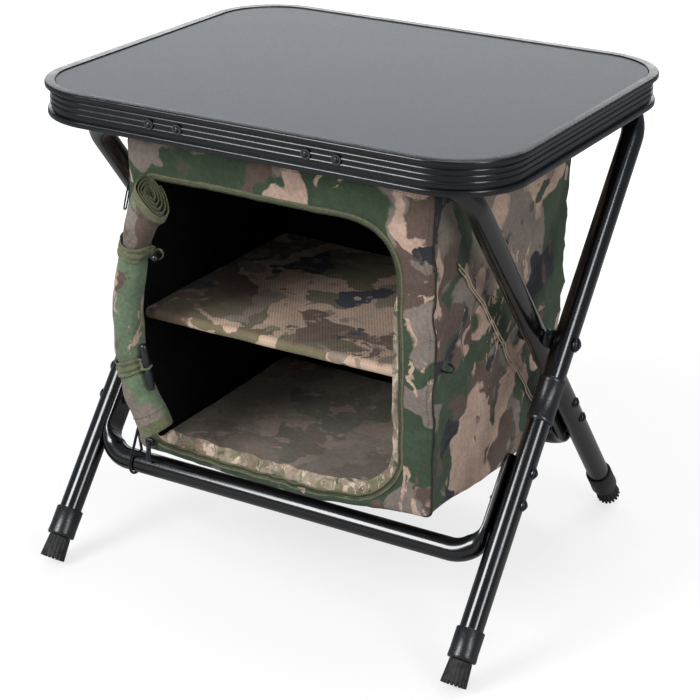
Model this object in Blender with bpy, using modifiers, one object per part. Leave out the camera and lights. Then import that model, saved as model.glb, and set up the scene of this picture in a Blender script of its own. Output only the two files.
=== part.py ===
"""Folding bedside table with a two-deck storage bag, modelled at rest with its crossed legs open."""

import math

import bmesh
import bpy
from mathutils import Matrix

# Clearance between pieces that touch, and between the bag's loose inner boards and its walls
GAP = 0.0003
SOFT_GAP = 0.0006

# Tabletop and its edging
TABLE_WIDTH = 0.480
TABLE_DEPTH = 0.406
TABLE_HEIGHT = 0.486
TABLE_SHIFT = -0.009  # centre of the tabletop, in front of the midpoint between the feet
CORNER_RADIUS = 0.0718
CORNER_STEPS = 7
EDGE_HEIGHT = 0.031
EDGE_WALL = 0.0018
RIM_WIDTH = 0.0095
RIM_RISE = 0.0010
LIP_HEIGHT = 0.0045
LIP_OVERHANG = 0.0055
RIM_CHAMFER = 0.0012
RIB_COUNT = 3
RIB_DEPTH = 0.0010
RIB_HEIGHT = 0.0030
BEAD_HEIGHT = 0.0060
BEAD_DEPTH = 0.0035
LEDGE_WIDTH = 0.0050
BOARD_THICKNESS = 0.008

# Frame tubes, which cross at the pivot
TUBE_RADIUS = 0.011
TUBE_WALL = 0.0015
LEG_INSET = 0.0182  # from the tabletop's side to the outer leg's centre line
LEG_SPACING = 0.0296
FOOT_SPREAD = 0.209
RAIL_DROP = 0.0265
RAIL_INSET = 0.0432  # from the tabletop's front and rear edges to the rails' centre lines
RAIL_BEND = 0.045
BEND_STEPS = 6
TUBE_SIDES = 4

# Feet
FOOT_RADIUS = 0.0125
FOOT_TOP_RADIUS = 0.0113
FOOT_HEIGHT = 0.0227
FOOT_STEM_RADIUS = 0.005
FOOT_STEM_LENGTH = 0.014
FERRULE_RADIUS = 0.0135
FERRULE_LENGTH = 0.0286
FERRULE_FLOOR = 0.004

# Collars on the outer legs
COLLAR_RADIUS = 0.0128
COLLAR_LENGTH = 0.042
COLLAR_DROP = 0.036

# Stretchers, bent tubes with flattened ends bolted inside the legs
STRETCHER_DROP = 0.2116
STRETCHER_BEND = 0.030
STRETCHER_WALL = 0.0012
FLAT_HALF_THICKNESS = 0.00275
FLAT_HALF_WIDTH = 0.0150
BOLT_DROP = 0.1408
BOLT_SPACING = 0.0305
END_MARGIN = 0.012
FLATTEN_START = math.radians(10)
FLATTEN_END = math.radians(48)
STRETCHER_BEND_STEPS = 9
STRETCHER_SIDES = 14

# Bolts, rivets and spacers
BOLT_RADIUS = 0.0028
BOLT_HEAD_RADIUS = 0.0052
BOLT_HEAD_HEIGHT = 0.0034
PIVOT_RADIUS = 0.0040
PIVOT_HEAD_RADIUS = 0.0068
PIVOT_HEAD_HEIGHT = 0.0042
SPACER_RADIUS = 0.0095
RIVET_RADIUS = 0.0018
RIVET_HEAD_RADIUS = 0.0042
RIVET_HEAD_HEIGHT = 0.0020
RIVET_TAIL_RADIUS = 0.0032
ROUND_STEPS = 14
FOOT_STEPS = 16  # a multiple of four, so that a corner of the foot's rim meets the floor

# Clips and hinge brackets between the edging and the rails
BRACKET_X = 0.0793
RIVET_SPACING = 0.0295
RIVET_DROP = 0.0155
PLATE_WIDTH = 0.042
PLATE_THICKNESS = 0.003
PLATE_TOP_DROP = 0.012
PLATE_HEIGHT = 0.018
HOOK_WIDTH = 0.020
HOOK_THICKNESS = 0.0038
ARM_RISE = 0.003  # of the arm's underside above the rail's centre
ARM_THICKNESS = 0.006
CLIP_FREE_ANGLE = math.radians(126)
CLIP_LOWER_ANGLE = math.radians(-36)
ARC_STEPS = 14

# Bag
BAG_SIDE_CLEARANCE = 0.0187  # to the inner legs
BAG_FLOOR_CLEARANCE = 0.0085  # over the rear crossbar
BAG_DROP = 0.045
BAG_SETBACK = 0.0088  # of the bag's top front edge behind the front rail
BAG_BACK_INSET = 0.0180  # of the bag's back in front of the rear rail
BAG_CORNER = 0.012
PANEL = 0.0025
OPENING_LEFT_MARGIN = 0.0125
OPENING_RIGHT_MARGIN = 0.0335
OPENING_BOTTOM_MARGIN = 0.011
OPENING_TOP_MARGIN = 0.037
OPENING_RADIUS_RIGHT = 0.048
OPENING_RADIUS_LEFT = 0.020
OPENING_STEPS = 6
ZIP_RADIUS = 0.0016
ZIP_OFFSET = 0.0035
PIPING_RADIUS = 0.002
PIPING_START = 0.022
PIPING_END_DROP = 0.020
SHELF_HEIGHT = 0.135
SHELF_THICKNESS = 0.011
SHELF_SETBACK = 0.003
BASE_BOARD_THICKNESS = 0.003

# Rolled door, its ties and toggles; heights run up the front panel from its lower edge
ROLL_SHIFT = 0.001  # of the roll's middle, to the right of the opening's left edge
ROLL_RADIUS = 0.0155
ROLL_END_RADIUS = 0.0185
ROLL_WAIST_RADIUS = 0.0130
ROLL_BOTTOM = 0.034
ROLL_MIDDLE = 0.120
ROLL_TOP_MARGIN = 0.032
ROLL_TOP_BOW = 0.041
ROLL_BOTTOM_BOW = 0.027
TIE_WIDTH = 0.014
TIE_MARGIN = 0.0015
TIE_THICKNESS = 0.0012
UPPER_TIE = 0.222
LOWER_TIE = 0.100
UPPER_TIE_ANGLE = math.radians(20)
LOWER_TIE_ANGLE = math.radians(-13)
UPPER_TIE_TAIL = 0.0040
LOWER_TIE_TAIL = 0.0035
TIE_TAIL_WIDTH = 0.004
TOGGLE_RADIUS = 0.004
TOGGLE_LENGTH = 0.048
UPPER_TOGGLE_TILT = math.radians(69)
LOWER_TOGGLE_TILT = 0.0

# Zip slider and pull
SLIDER_SHIFT = 0.004
SLIDER_WIDTH = 0.009
SLIDER_HEIGHT = 0.008
SLIDER_THICKNESS = 0.0035
PULL_WIDTH = 0.006
PULL_LENGTH = 0.020
PULL_THICKNESS = 0.0016

# Straps from the rails to the bag
STRAP_INSET = 0.0325
STRAP_WIDTH = 0.025
STRAP_THICKNESS = 0.0015
STRAP_TAIL_WIDTH = 0.003

# Small cords and the side pocket
ELASTIC_RADIUS = 0.0015
ELASTIC_RISE = 0.014
ELASTIC_CLEARANCE = 0.005
ELASTIC_SPREAD = 0.0032
SIDE_LOOP_RADIUS = 0.0011
SIDE_LOOP_SETBACK = 0.006
SIDE_LOOP_HEIGHT = 0.149
SIDE_LOOP_SPAN = 0.009
POCKET_THICKNESS = 0.0012
POCKET_FRONT_MARGIN = 0.019
POCKET_BACK_MARGIN = 0.048
POCKET_BOTTOM_MARGIN = 0.019
POCKET_REAR_HEIGHT = 0.032
POCKET_FRONT_HEIGHT = 0.245

# Places that follow from the sizes
OUTER_LEG_X = TABLE_WIDTH / 2 - LEG_INSET
INNER_LEG_X = OUTER_LEG_X - LEG_SPACING
RAIL_Z = TABLE_HEIGHT - RAIL_DROP
FRONT_RAIL_Y = TABLE_SHIFT - TABLE_DEPTH / 2 + RAIL_INSET
REAR_RAIL_Y = TABLE_SHIFT + TABLE_DEPTH / 2 - RAIL_INSET
BOARD_TOP = TABLE_HEIGHT - RIM_RISE
WEB_INSET = LIP_OVERHANG + EDGE_WALL

# Where the two leg frames stand, lean and cross


def lean_of(reach):
    """Lean of a leg that runs from its foot, whose lower rim meets the floor, back or forward to its rail."""
    lean = math.atan2(reach, RAIL_Z)
    for _ in range(20):
        lean = math.atan2(reach, RAIL_Z - FOOT_RADIUS * math.sin(lean))
    return lean


OUTER_LEAN = lean_of(REAR_RAIL_Y + FOOT_SPREAD)
INNER_LEAN = lean_of(FOOT_SPREAD - FRONT_RAIL_Y)
OUTER_FOOT_Z = FOOT_RADIUS * math.sin(OUTER_LEAN)
INNER_FOOT_Z = FOOT_RADIUS * math.sin(INNER_LEAN)
OUTER_DOWN = (
    2 * FOOT_SPREAD * math.cos(INNER_LEAN) + (INNER_FOOT_Z - OUTER_FOOT_Z) * math.sin(INNER_LEAN)
) / math.sin(OUTER_LEAN + INNER_LEAN)
PIVOT_Y = -FOOT_SPREAD + OUTER_DOWN * math.sin(OUTER_LEAN)
PIVOT_Z = OUTER_FOOT_Z + OUTER_DOWN * math.cos(OUTER_LEAN)
INNER_DOWN = (PIVOT_Z - INNER_FOOT_Z) / math.cos(INNER_LEAN)
OUTER_UP = (RAIL_Z - PIVOT_Z) / math.cos(OUTER_LEAN)
INNER_UP = (RAIL_Z - PIVOT_Z) / math.cos(INNER_LEAN)
FRONT_BAR_Y = PIVOT_Y - STRETCHER_DROP * math.sin(OUTER_LEAN)
FRONT_BAR_Z = PIVOT_Z - STRETCHER_DROP * math.cos(OUTER_LEAN)
REAR_BAR_Z = PIVOT_Z - STRETCHER_DROP * math.cos(INNER_LEAN)

# The bag fills the space between the rails, the inner legs and the crossbars
BAG_WIDTH = 2 * (INNER_LEG_X - TUBE_RADIUS - BAG_SIDE_CLEARANCE)
BAG_TOP = TABLE_HEIGHT - BAG_DROP
BAG_BOTTOM = REAR_BAR_Z + TUBE_RADIUS + BAG_FLOOR_CLEARANCE
BAG_FRONT_TOP_Y = FRONT_RAIL_Y + BAG_SETBACK
BAG_FRONT_Y = FRONT_BAR_Y
BAG_BACK_Y = REAR_RAIL_Y - BAG_BACK_INSET
PANEL_LEAN = math.atan2(BAG_FRONT_Y - BAG_FRONT_TOP_Y, BAG_TOP - BAG_BOTTOM)
PANEL_HEIGHT = math.hypot(BAG_FRONT_Y - BAG_FRONT_TOP_Y, BAG_TOP - BAG_BOTTOM)
OPENING_LEFT = OPENING_LEFT_MARGIN - BAG_WIDTH / 2
OPENING_RIGHT = BAG_WIDTH / 2 - OPENING_RIGHT_MARGIN
OPENING_TOP = PANEL_HEIGHT - OPENING_TOP_MARGIN
TRACK_DEPTH = GAP + PANEL + GAP + 2 * ZIP_RADIUS + GAP  # from the front panel's back to clear of the zip


def clear_scene():
    for old in list(bpy.data.objects):
        bpy.data.objects.remove(old, do_unlink=True)


def new_collection(name):
    made = bpy.data.collections.new(name)
    bpy.context.scene.collection.children.link(made)
    return made


def finish(name, colour, roughness, metallic=0.0):
    """A plain material with its colour written as three linear values."""
    made = bpy.data.materials.new(name)
    made.use_nodes = True
    shader = made.node_tree.nodes["Principled BSDF"]
    shader.inputs["Base Color"].default_value = (*colour, 1.0)
    shader.inputs["Roughness"].default_value = roughness
    shader.inputs["Metallic"].default_value = metallic
    made.diffuse_color = (*colour, 1.0)
    return made


def axis_empty(name, location, rotation=(0, 0, 0)):
    """An empty that carries the pieces of one frame, with its origin on a joint's axis."""
    empty = bpy.data.objects.new(name, None)
    empty.location = location
    empty.rotation_euler = rotation
    PARTS.objects.link(empty)
    bpy.context.view_layer.update()
    return empty


def add_piece(name, data, material, parent=None, location=(0, 0, 0), rotation=(0, 0, 0)):
    piece = bpy.data.objects.new(name, data)
    if material:
        data.materials.append(material)
    piece.parent = parent
    piece.location = location
    piece.rotation_euler = rotation
    PARTS.objects.link(piece)
    return piece


def carry(piece, parent):
    """Parents a piece that was placed in world space, and leaves it where it is."""
    bpy.context.view_layer.update()
    piece.parent = parent
    piece.matrix_parent_inverse = parent.matrix_world.inverted()
    return piece


def shade(piece, angle=35):
    piece.data.shade_smooth()
    piece.data.set_sharp_from_angle(angle=math.radians(angle))


def turned(name, profile, material, closed=False, steps=ROUND_STEPS, **place):
    """Turns (radius, height) points, which run down the outer side, round local Z."""
    mesh = bpy.data.meshes.new(name)
    edges = [(i, i + 1) for i in range(len(profile) - 1)]
    if closed:
        edges.append((len(profile) - 1, 0))
    mesh.from_pydata([(radius, 0, height) for radius, height in profile], edges, [])
    piece = add_piece(name, mesh, material, **place)
    screw = piece.modifiers.new("Turn", "SCREW")
    screw.axis = "Z"
    screw.steps = screw.render_steps = steps
    screw.use_merge_vertices = True
    screw.merge_threshold = 0.00001
    return piece


def curve_line(curve, points, cyclic):
    line = curve.splines.new("POLY")
    line.points.add(len(points) - 1)
    for target, point in zip(line.points, points):
        target.co = (*point, 0.0, 1.0)[:4] if len(point) == 2 else (*point, 1.0)
    line.use_cyclic_u = cyclic


def bent_tube(name, points, radius, material, resolution=2, cyclic=False, caps=True, **place):
    """A round bar along a line of points."""
    curve = bpy.data.curves.new(name, "CURVE")
    curve.dimensions = "3D"
    curve.bevel_depth = radius
    curve.bevel_resolution = resolution
    curve.use_fill_caps = caps and not cyclic
    curve_line(curve, points, cyclic)
    return add_piece(name, curve, material, **place)


def flat_piece(name, outlines, thickness, material, **place):
    """A flat outline with any holes, as thick as stated, centred on its local XY plane."""
    curve = bpy.data.curves.new(name, "CURVE")
    curve.dimensions = "2D"
    curve.fill_mode = "BOTH"
    curve.extrude = thickness / 2
    for outline in outlines:
        curve_line(curve, outline, True)
    return add_piece(name, curve, material, **place)


def as_mesh(piece):
    """The same piece as a plain welded mesh, ready to be cut or joined."""
    bpy.context.view_layer.update()
    graph = bpy.context.evaluated_depsgraph_get()
    mesh = bpy.data.meshes.new_from_object(piece.evaluated_get(graph))
    work = bmesh.new()
    work.from_mesh(mesh)
    bmesh.ops.remove_doubles(work, verts=work.verts, dist=0.000002)
    bmesh.ops.recalc_face_normals(work, faces=work.faces)
    work.to_mesh(mesh)
    work.free()
    name, parent = piece.name, piece.parent
    inverse, matrix = piece.matrix_parent_inverse.copy(), piece.matrix_world.copy()
    bpy.data.objects.remove(piece, do_unlink=True)
    solid = bpy.data.objects.new(name, mesh)
    PARTS.objects.link(solid)
    solid.parent = parent
    solid.matrix_parent_inverse = inverse
    solid.matrix_world = matrix
    return solid


def as_cutter(piece):
    PARTS.objects.unlink(piece)
    CUTTERS.objects.link(piece)
    piece.hide_render = True
    piece.display_type = "WIRE"
    return piece


def boolean(piece, other, operation):
    step = piece.modifiers.new(operation.title(), "BOOLEAN")
    step.operation = operation
    step.object = other


def cross_bore(name, radius, y, z):
    """A cutter along X, long enough for both sides of the frame."""
    work = bmesh.new()
    depth = TABLE_WIDTH + TUBE_RADIUS
    bmesh.ops.create_cone(
        work, cap_ends=True, segments=ROUND_STEPS, radius1=radius, radius2=radius, depth=depth
    )
    mesh = bpy.data.meshes.new(name)
    work.to_mesh(mesh)
    work.free()
    return as_cutter(add_piece(name, mesh, None, location=(0, y, z), rotation=(0, math.pi / 2, 0)))


def box(name, low, high, material, corner=0.0, corner_steps=3, **place):
    """A box between two corners, its upright edges rounded if a corner radius is given."""
    work = bmesh.new()
    size = [top - bottom for bottom, top in zip(low, high)]
    middle = [(top + bottom) / 2 for bottom, top in zip(low, high)]
    bmesh.ops.create_cube(work, size=1, matrix=Matrix.Translation(middle) @ Matrix.Diagonal((*size, 1)))
    if corner:
        upright = [e for e in work.edges if abs(e.verts[0].co.z - e.verts[1].co.z) > size[2] / 2]
        bmesh.ops.bevel(
            work, geom=upright, offset=corner, segments=corner_steps, profile=0.5, affect="EDGES"
        )
    mesh = bpy.data.meshes.new(name)
    work.to_mesh(mesh)
    work.free()
    return add_piece(name, mesh, material, **place)


def arc(centre, radius, start, end, steps):
    return [
        (
            centre[0] + radius * math.cos(start + (end - start) * i / steps),
            centre[1] + radius * math.sin(start + (end - start) * i / steps),
        )
        for i in range(steps + 1)
    ]


def rounded_rectangle(left, right, bottom, top, radii, steps):
    """Outline from the bottom left corner, anticlockwise; radii run in the same order."""
    corners = (
        (left, bottom, 1, 1, math.pi),
        (right, bottom, -1, 1, 1.5 * math.pi),
        (right, top, -1, -1, 0.0),
        (left, top, 1, -1, 0.5 * math.pi),
    )
    points = []
    for (x, y, side_x, side_y, start), radius in zip(corners, radii):
        centre = (x + side_x * radius, y + side_y * radius)
        points += arc(centre, radius, start, start + math.pi / 2, steps)
    return points


def edge_section():
    """The edging's section: x is the distance out from the tabletop's outline, y the height from its top."""
    web, inner = -LIP_OVERHANG, -WEB_INSET
    ledge_top = -RIM_RISE - BOARD_THICKNESS - GAP
    ledge_reach = -RIM_WIDTH - LEDGE_WIDTH
    points = [(-RIM_WIDTH, 0), (-RIM_CHAMFER, 0), (0, -RIM_CHAMFER), (0, -LIP_HEIGHT)]
    points.append((web, -LIP_HEIGHT - RIM_CHAMFER))
    free = EDGE_HEIGHT - LIP_HEIGHT - RIM_CHAMFER - BEAD_HEIGHT
    space = (free - RIB_COUNT * RIB_HEIGHT) / (RIB_COUNT + 1)
    top = -LIP_HEIGHT - RIM_CHAMFER
    for _ in range(RIB_COUNT):
        top -= space
        points += [(web, top), (web + RIB_DEPTH, top - RIB_DEPTH)]
        top -= RIB_HEIGHT
        points += [(web + RIB_DEPTH, top + RIB_DEPTH), (web, top)]
    bead = web + BEAD_DEPTH
    points += [(web, -EDGE_HEIGHT + BEAD_HEIGHT), (bead, -EDGE_HEIGHT + BEAD_HEIGHT - RIM_CHAMFER)]
    points += [(bead, -EDGE_HEIGHT + RIM_CHAMFER), (bead - RIM_CHAMFER, -EDGE_HEIGHT), (inner, -EDGE_HEIGHT)]
    points += [(inner, ledge_top - EDGE_WALL), (ledge_reach, ledge_top - EDGE_WALL), (ledge_reach, ledge_top)]
    points += [(-RIM_WIDTH, ledge_top)]
    return points


def table_outline(inset):
    half_width, half_depth = TABLE_WIDTH / 2 - inset, TABLE_DEPTH / 2 - inset
    radius = CORNER_RADIUS - inset
    return rounded_rectangle(-half_width, half_width, -half_depth, half_depth, [radius] * 4, CORNER_STEPS)


def build_tabletop(lid):
    board = flat_piece(
        "tabletop_board",
        [table_outline(RIM_WIDTH + GAP)],
        BOARD_THICKNESS,
        LAMINATE,
        location=(0, TABLE_SHIFT, BOARD_TOP - BOARD_THICKNESS / 2),
    )
    section = bpy.data.curves.new("edge_section", "CURVE")
    section.dimensions = "2D"
    curve_line(section, edge_section(), True)
    guide = as_cutter(add_piece("edge_section", section, None))
    path = bpy.data.curves.new("edge_trim", "CURVE")
    path.dimensions = "3D"
    path.twist_mode = "Z_UP"
    path.bevel_mode = "OBJECT"
    path.bevel_object = guide
    curve_line(path, table_outline(0), True)
    trim = as_mesh(add_piece("edge_trim", path, EDGE_BLACK, location=(0, TABLE_SHIFT, TABLE_HEIGHT)))
    for side in (-1, 1):
        for offset in (-1, 1):
            for face in (-1, 1):
                x = side * BRACKET_X + offset * RIVET_SPACING / 2
                web_y = TABLE_SHIFT + face * (TABLE_DEPTH / 2 - LIP_OVERHANG)
                cut_rivet_hole(trim, x, web_y)
                rivet_name = f"edge_rivet_{'front' if face < 0 else 'rear'}_{'left' if side < 0 else 'right'}"
                build_rivet(f"{rivet_name}_{'a' if offset < 0 else 'b'}", x, web_y, face, lid)
    shade(trim)
    carry(board, lid)
    carry(trim, lid)


def cut_rivet_hole(piece, x, y):
    work = bmesh.new()
    depth = 2 * (EDGE_WALL + RIB_DEPTH + PLATE_THICKNESS)
    bmesh.ops.create_cone(
        work,
        cap_ends=True,
        segments=8,
        radius1=RIVET_RADIUS + GAP,
        radius2=RIVET_RADIUS + GAP,
        depth=depth,
        matrix=Matrix.Rotation(math.pi / 2, 4, "X"),
    )
    mesh = bpy.data.meshes.new("rivet_bore")
    work.to_mesh(mesh)
    work.free()
    cutter = add_piece("rivet_bore", mesh, None, location=(x, y, TABLE_HEIGHT - RIVET_DROP))
    boolean(piece, as_cutter(cutter), "DIFFERENCE")


def headed_pin(grip, radius, head, head_height, tail, tail_height):
    """Profile of a pin whose domed head sits on top of its grip and whose tail sits under it."""
    return [
        (0, grip / 2 + head_height),
        (head * 0.6, grip / 2 + head_height * 0.8),
        (head, grip / 2 + head_height * 0.2),
        (head, grip / 2),
        (radius, grip / 2),
        (radius, -grip / 2),
        (tail, -grip / 2),
        (tail, -grip / 2 - tail_height * 0.2),
        (tail * 0.6, -grip / 2 - tail_height * 0.8),
        (0, -grip / 2 - tail_height),
    ]


def build_rivet(name, x, web_y, face, lid):
    """A rivet through the edging's web and a bracket's plate; face is -1 in front and 1 behind."""
    grip = RIB_DEPTH + EDGE_WALL + PLATE_THICKNESS + 3 * GAP
    middle = web_y + face * (RIB_DEPTH + GAP - grip / 2)
    profile = headed_pin(
        grip, RIVET_RADIUS, RIVET_HEAD_RADIUS, RIVET_HEAD_HEIGHT, RIVET_TAIL_RADIUS, RIVET_HEAD_HEIGHT
    )
    rivet = turned(
        name,
        profile,
        STEEL_BLACK,
        steps=10,
        location=(x, middle, TABLE_HEIGHT - RIVET_DROP),
        rotation=(-face * math.pi / 2, 0, 0),
    )
    carry(rivet, lid)


def bracket_outline(reach, first, last):
    """Section of a hook and its arm, x towards the edging and y up, from the rail's centre."""
    inner, outer = TUBE_RADIUS + GAP, TUBE_RADIUS + GAP + HOOK_THICKNESS
    top, bottom = ARM_RISE + ARM_THICKNESS, ARM_RISE
    above = math.asin(top / outer)
    below = math.asin(bottom / outer)
    points = arc((0, 0), outer, first, above, ARC_STEPS // 2)
    points += [(reach, top), (reach, bottom)]
    points += arc((0, 0), outer, below, last, ARC_STEPS)
    if last - first > -2 * math.pi + 0.01:
        points += arc((0, 0), inner, last, first, ARC_STEPS)
    return points


def build_bracket(name, side, face, rail_y, closed, material, lid):
    """A hook or a closed hinge eye round a rail, joined to a plate on the edging's inner face."""
    web = TABLE_SHIFT + face * (TABLE_DEPTH / 2 - WEB_INSET - GAP)
    reach = abs(web - rail_y) - PLATE_THICKNESS / 2
    if closed:
        outlines = [bracket_outline(reach, math.pi / 2, -1.5 * math.pi)]
        outlines.append(arc((0, 0), TUBE_RADIUS + GAP, 0, 2 * math.pi, 2 * ARC_STEPS)[:-1])
    else:
        outlines = [bracket_outline(reach, CLIP_FREE_ANGLE, CLIP_LOWER_ANGLE)]
    hook = as_mesh(
        flat_piece(
            name,
            outlines,
            HOOK_WIDTH,
            material,
            location=(side * BRACKET_X, rail_y, RAIL_Z),
            rotation=(math.pi / 2, 0, face * math.pi / 2),
        )
    )
    near, far = sorted((web, web - face * PLATE_THICKNESS))
    plate = box(
        f"{name}_plate",
        (side * BRACKET_X - PLATE_WIDTH / 2, near, TABLE_HEIGHT - PLATE_TOP_DROP - PLATE_HEIGHT),
        (side * BRACKET_X + PLATE_WIDTH / 2, far, TABLE_HEIGHT - PLATE_TOP_DROP),
        None,
    )
    boolean(hook, as_cutter(plate), "UNION")
    for offset in (-1, 1):
        cut_rivet_hole(hook, side * BRACKET_X + offset * RIVET_SPACING / 2, web)
    shade(hook)
    carry(hook, lid)


def frame_path(leg_x, down, up):
    """Half turn of tube from one leg's foot end up over the rail and down the other leg."""
    foot_end = -down + FOOT_HEIGHT + FERRULE_FLOOR + 2 * GAP
    right = arc((leg_x - RAIL_BEND, up - RAIL_BEND), RAIL_BEND, 0, math.pi / 2, BEND_STEPS)
    left = arc((RAIL_BEND - leg_x, up - RAIL_BEND), RAIL_BEND, math.pi / 2, math.pi, BEND_STEPS)
    return [(x, 0, z) for x, z in [(leg_x, foot_end), *right, *left, (-leg_x, foot_end)]]


def build_frame_tube(name, leg_x, down, up, frame, bores):
    path = frame_path(leg_x, down, up)
    curve_tube = bent_tube(
        name, path, TUBE_RADIUS, TUBE_BLACK, resolution=TUBE_SIDES, caps=False, parent=frame
    )
    wall = curve_tube.modifiers.new("Wall", "SOLIDIFY")
    wall.thickness = TUBE_WALL
    wall.offset = -1
    tube = as_mesh(curve_tube)
    for bore in bores:
        boolean(tube, bore, "DIFFERENCE")
    shade(tube)


def smooth_step(value):
    value = min(max(value, 0.0), 1.0)
    return value * value * (3 - 2 * value)


def stretcher_stations(leg_x):
    """Stations along one half of a stretcher: centre x and z, direction of its thickness, and roundness."""
    flat_x = leg_x - TUBE_RADIUS - GAP - FLAT_HALF_THICKNESS
    top = -BOLT_DROP + BOLT_SPACING / 2 + END_MARGIN
    stations = [(flat_x, top, 0.0, 0.0)]
    centre_x, centre_z = flat_x - STRETCHER_BEND, -STRETCHER_DROP + STRETCHER_BEND
    for i in range(STRETCHER_BEND_STEPS + 1):
        angle = math.pi / 2 * i / STRETCHER_BEND_STEPS
        roundness = smooth_step((angle - FLATTEN_START) / (FLATTEN_END - FLATTEN_START))
        x = centre_x + STRETCHER_BEND * math.cos(angle)
        z = centre_z - STRETCHER_BEND * math.sin(angle)
        stations.append((x, z, angle, roundness))
    mirrored = [(-x, z, math.pi - angle, roundness) for x, z, angle, roundness in reversed(stations)]
    return stations + mirrored


def stretcher_ring(work, station, inset):
    """One ring of the tube: a flat oval where roundness is 0 and a circle where it is 1."""
    x, z, angle, roundness = station
    half_thickness = FLAT_HALF_THICKNESS + (TUBE_RADIUS - FLAT_HALF_THICKNESS) * roundness - inset
    half_width = FLAT_HALF_WIDTH + (TUBE_RADIUS - FLAT_HALF_WIDTH) * roundness - inset
    power = 2 / (4 - 2 * roundness)
    ring = []
    for i in range(STRETCHER_SIDES):
        turn = 2 * math.pi * (i + 0.5) / STRETCHER_SIDES
        across = half_thickness * math.copysign(abs(math.cos(turn)) ** power, math.cos(turn))
        deep = half_width * math.copysign(abs(math.sin(turn)) ** power, math.sin(turn))
        ring.append(work.verts.new((x + across * math.cos(angle), deep, z - across * math.sin(angle))))
    return ring


def bridge(work, first, second):
    for i in range(len(first)):
        j = (i + 1) % len(first)
        work.faces.new((first[i], first[j], second[j], second[i]))


def build_stretcher(name, leg_x, frame, bores):
    """Lofted by hand, because its section changes from a flat oval to a circle round the bend."""
    work = bmesh.new()
    stations = stretcher_stations(leg_x)
    outer = [stretcher_ring(work, station, 0.0) for station in stations]
    inner = [stretcher_ring(work, station, STRETCHER_WALL) for station in stations]
    for rings in (outer, inner):
        for first, second in zip(rings, rings[1:]):
            bridge(work, first, second)
    bridge(work, outer[0], inner[0])
    bridge(work, outer[-1], inner[-1])
    bmesh.ops.recalc_face_normals(work, faces=work.faces)
    mesh = bpy.data.meshes.new(name)
    work.to_mesh(mesh)
    work.free()
    stretcher = add_piece(name, mesh, TUBE_BLACK, parent=frame)
    for bore in bores:
        boolean(stretcher, bore, "DIFFERENCE")
    shade(stretcher)


def build_foot(place, leg_x, down, frame):
    foot = [
        (0, FOOT_HEIGHT + FOOT_STEM_LENGTH),
        (FOOT_STEM_RADIUS, FOOT_HEIGHT + FOOT_STEM_LENGTH),
        (FOOT_STEM_RADIUS, FOOT_HEIGHT),
        (FOOT_TOP_RADIUS, FOOT_HEIGHT),
        (FOOT_RADIUS, 0),
        (0, 0),
    ]
    turned(f"rubber_foot_{place}", foot, RUBBER, steps=FOOT_STEPS, parent=frame, location=(leg_x, 0, -down))
    base = FOOT_HEIGHT + GAP
    floor = base + FERRULE_FLOOR
    bore = TUBE_RADIUS + GAP
    stem = FOOT_STEM_RADIUS + GAP
    ferrule = [
        (FERRULE_RADIUS, base + FERRULE_LENGTH),
        (FERRULE_RADIUS, base),
        (stem, base),
        (stem, floor),
        (bore, floor),
        (bore, base + FERRULE_LENGTH),
    ]
    turned(f"leg_ferrule_{place}", ferrule, PLASTIC, closed=True, parent=frame, location=(leg_x, 0, -down))


def build_cross_pin(name, side, low_x, high_x, radius, head, height, frame, drop):
    """A bolt along X with a domed head outside the leg and a domed nut inside."""
    grip = high_x - low_x
    turned(
        name,
        headed_pin(grip, radius, head, height, head, height),
        STEEL_BLACK,
        parent=frame,
        location=(side * (low_x + high_x) / 2, 0, -drop),
        rotation=(0, side * math.pi / 2, 0),
        steps=12,
    )


def build_leg_frame(kind, leg_x, down, up, frame, stretcher_name, bolt_bores, pivot_bore):
    build_frame_tube(f"{kind}_frame_tube", leg_x, down, up, frame, [pivot_bore, *bolt_bores])
    build_stretcher(stretcher_name, leg_x, frame, bolt_bores)
    for side, word in ((-1, "left"), (1, "right")):
        build_foot(f"{kind}_{word}", side * leg_x, down, frame)
        high = leg_x + TUBE_RADIUS + GAP
        low = leg_x - TUBE_RADIUS - 2 * GAP - 2 * FLAT_HALF_THICKNESS
        for offset, level in ((-1, "upper"), (1, "lower")):
            build_cross_pin(
                f"{stretcher_name}_bolt_{word}_{level}",
                side,
                low,
                high,
                BOLT_RADIUS,
                BOLT_HEAD_RADIUS,
                BOLT_HEAD_HEIGHT,
                frame,
                BOLT_DROP + offset * BOLT_SPACING / 2,
            )


def frame_point(lean, drop, face):
    """World y and z of a point this far down a leg from the pivot; face is -1 for a foot in front."""
    return PIVOT_Y + face * drop * math.sin(lean), PIVOT_Z - drop * math.cos(lean)


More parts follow.
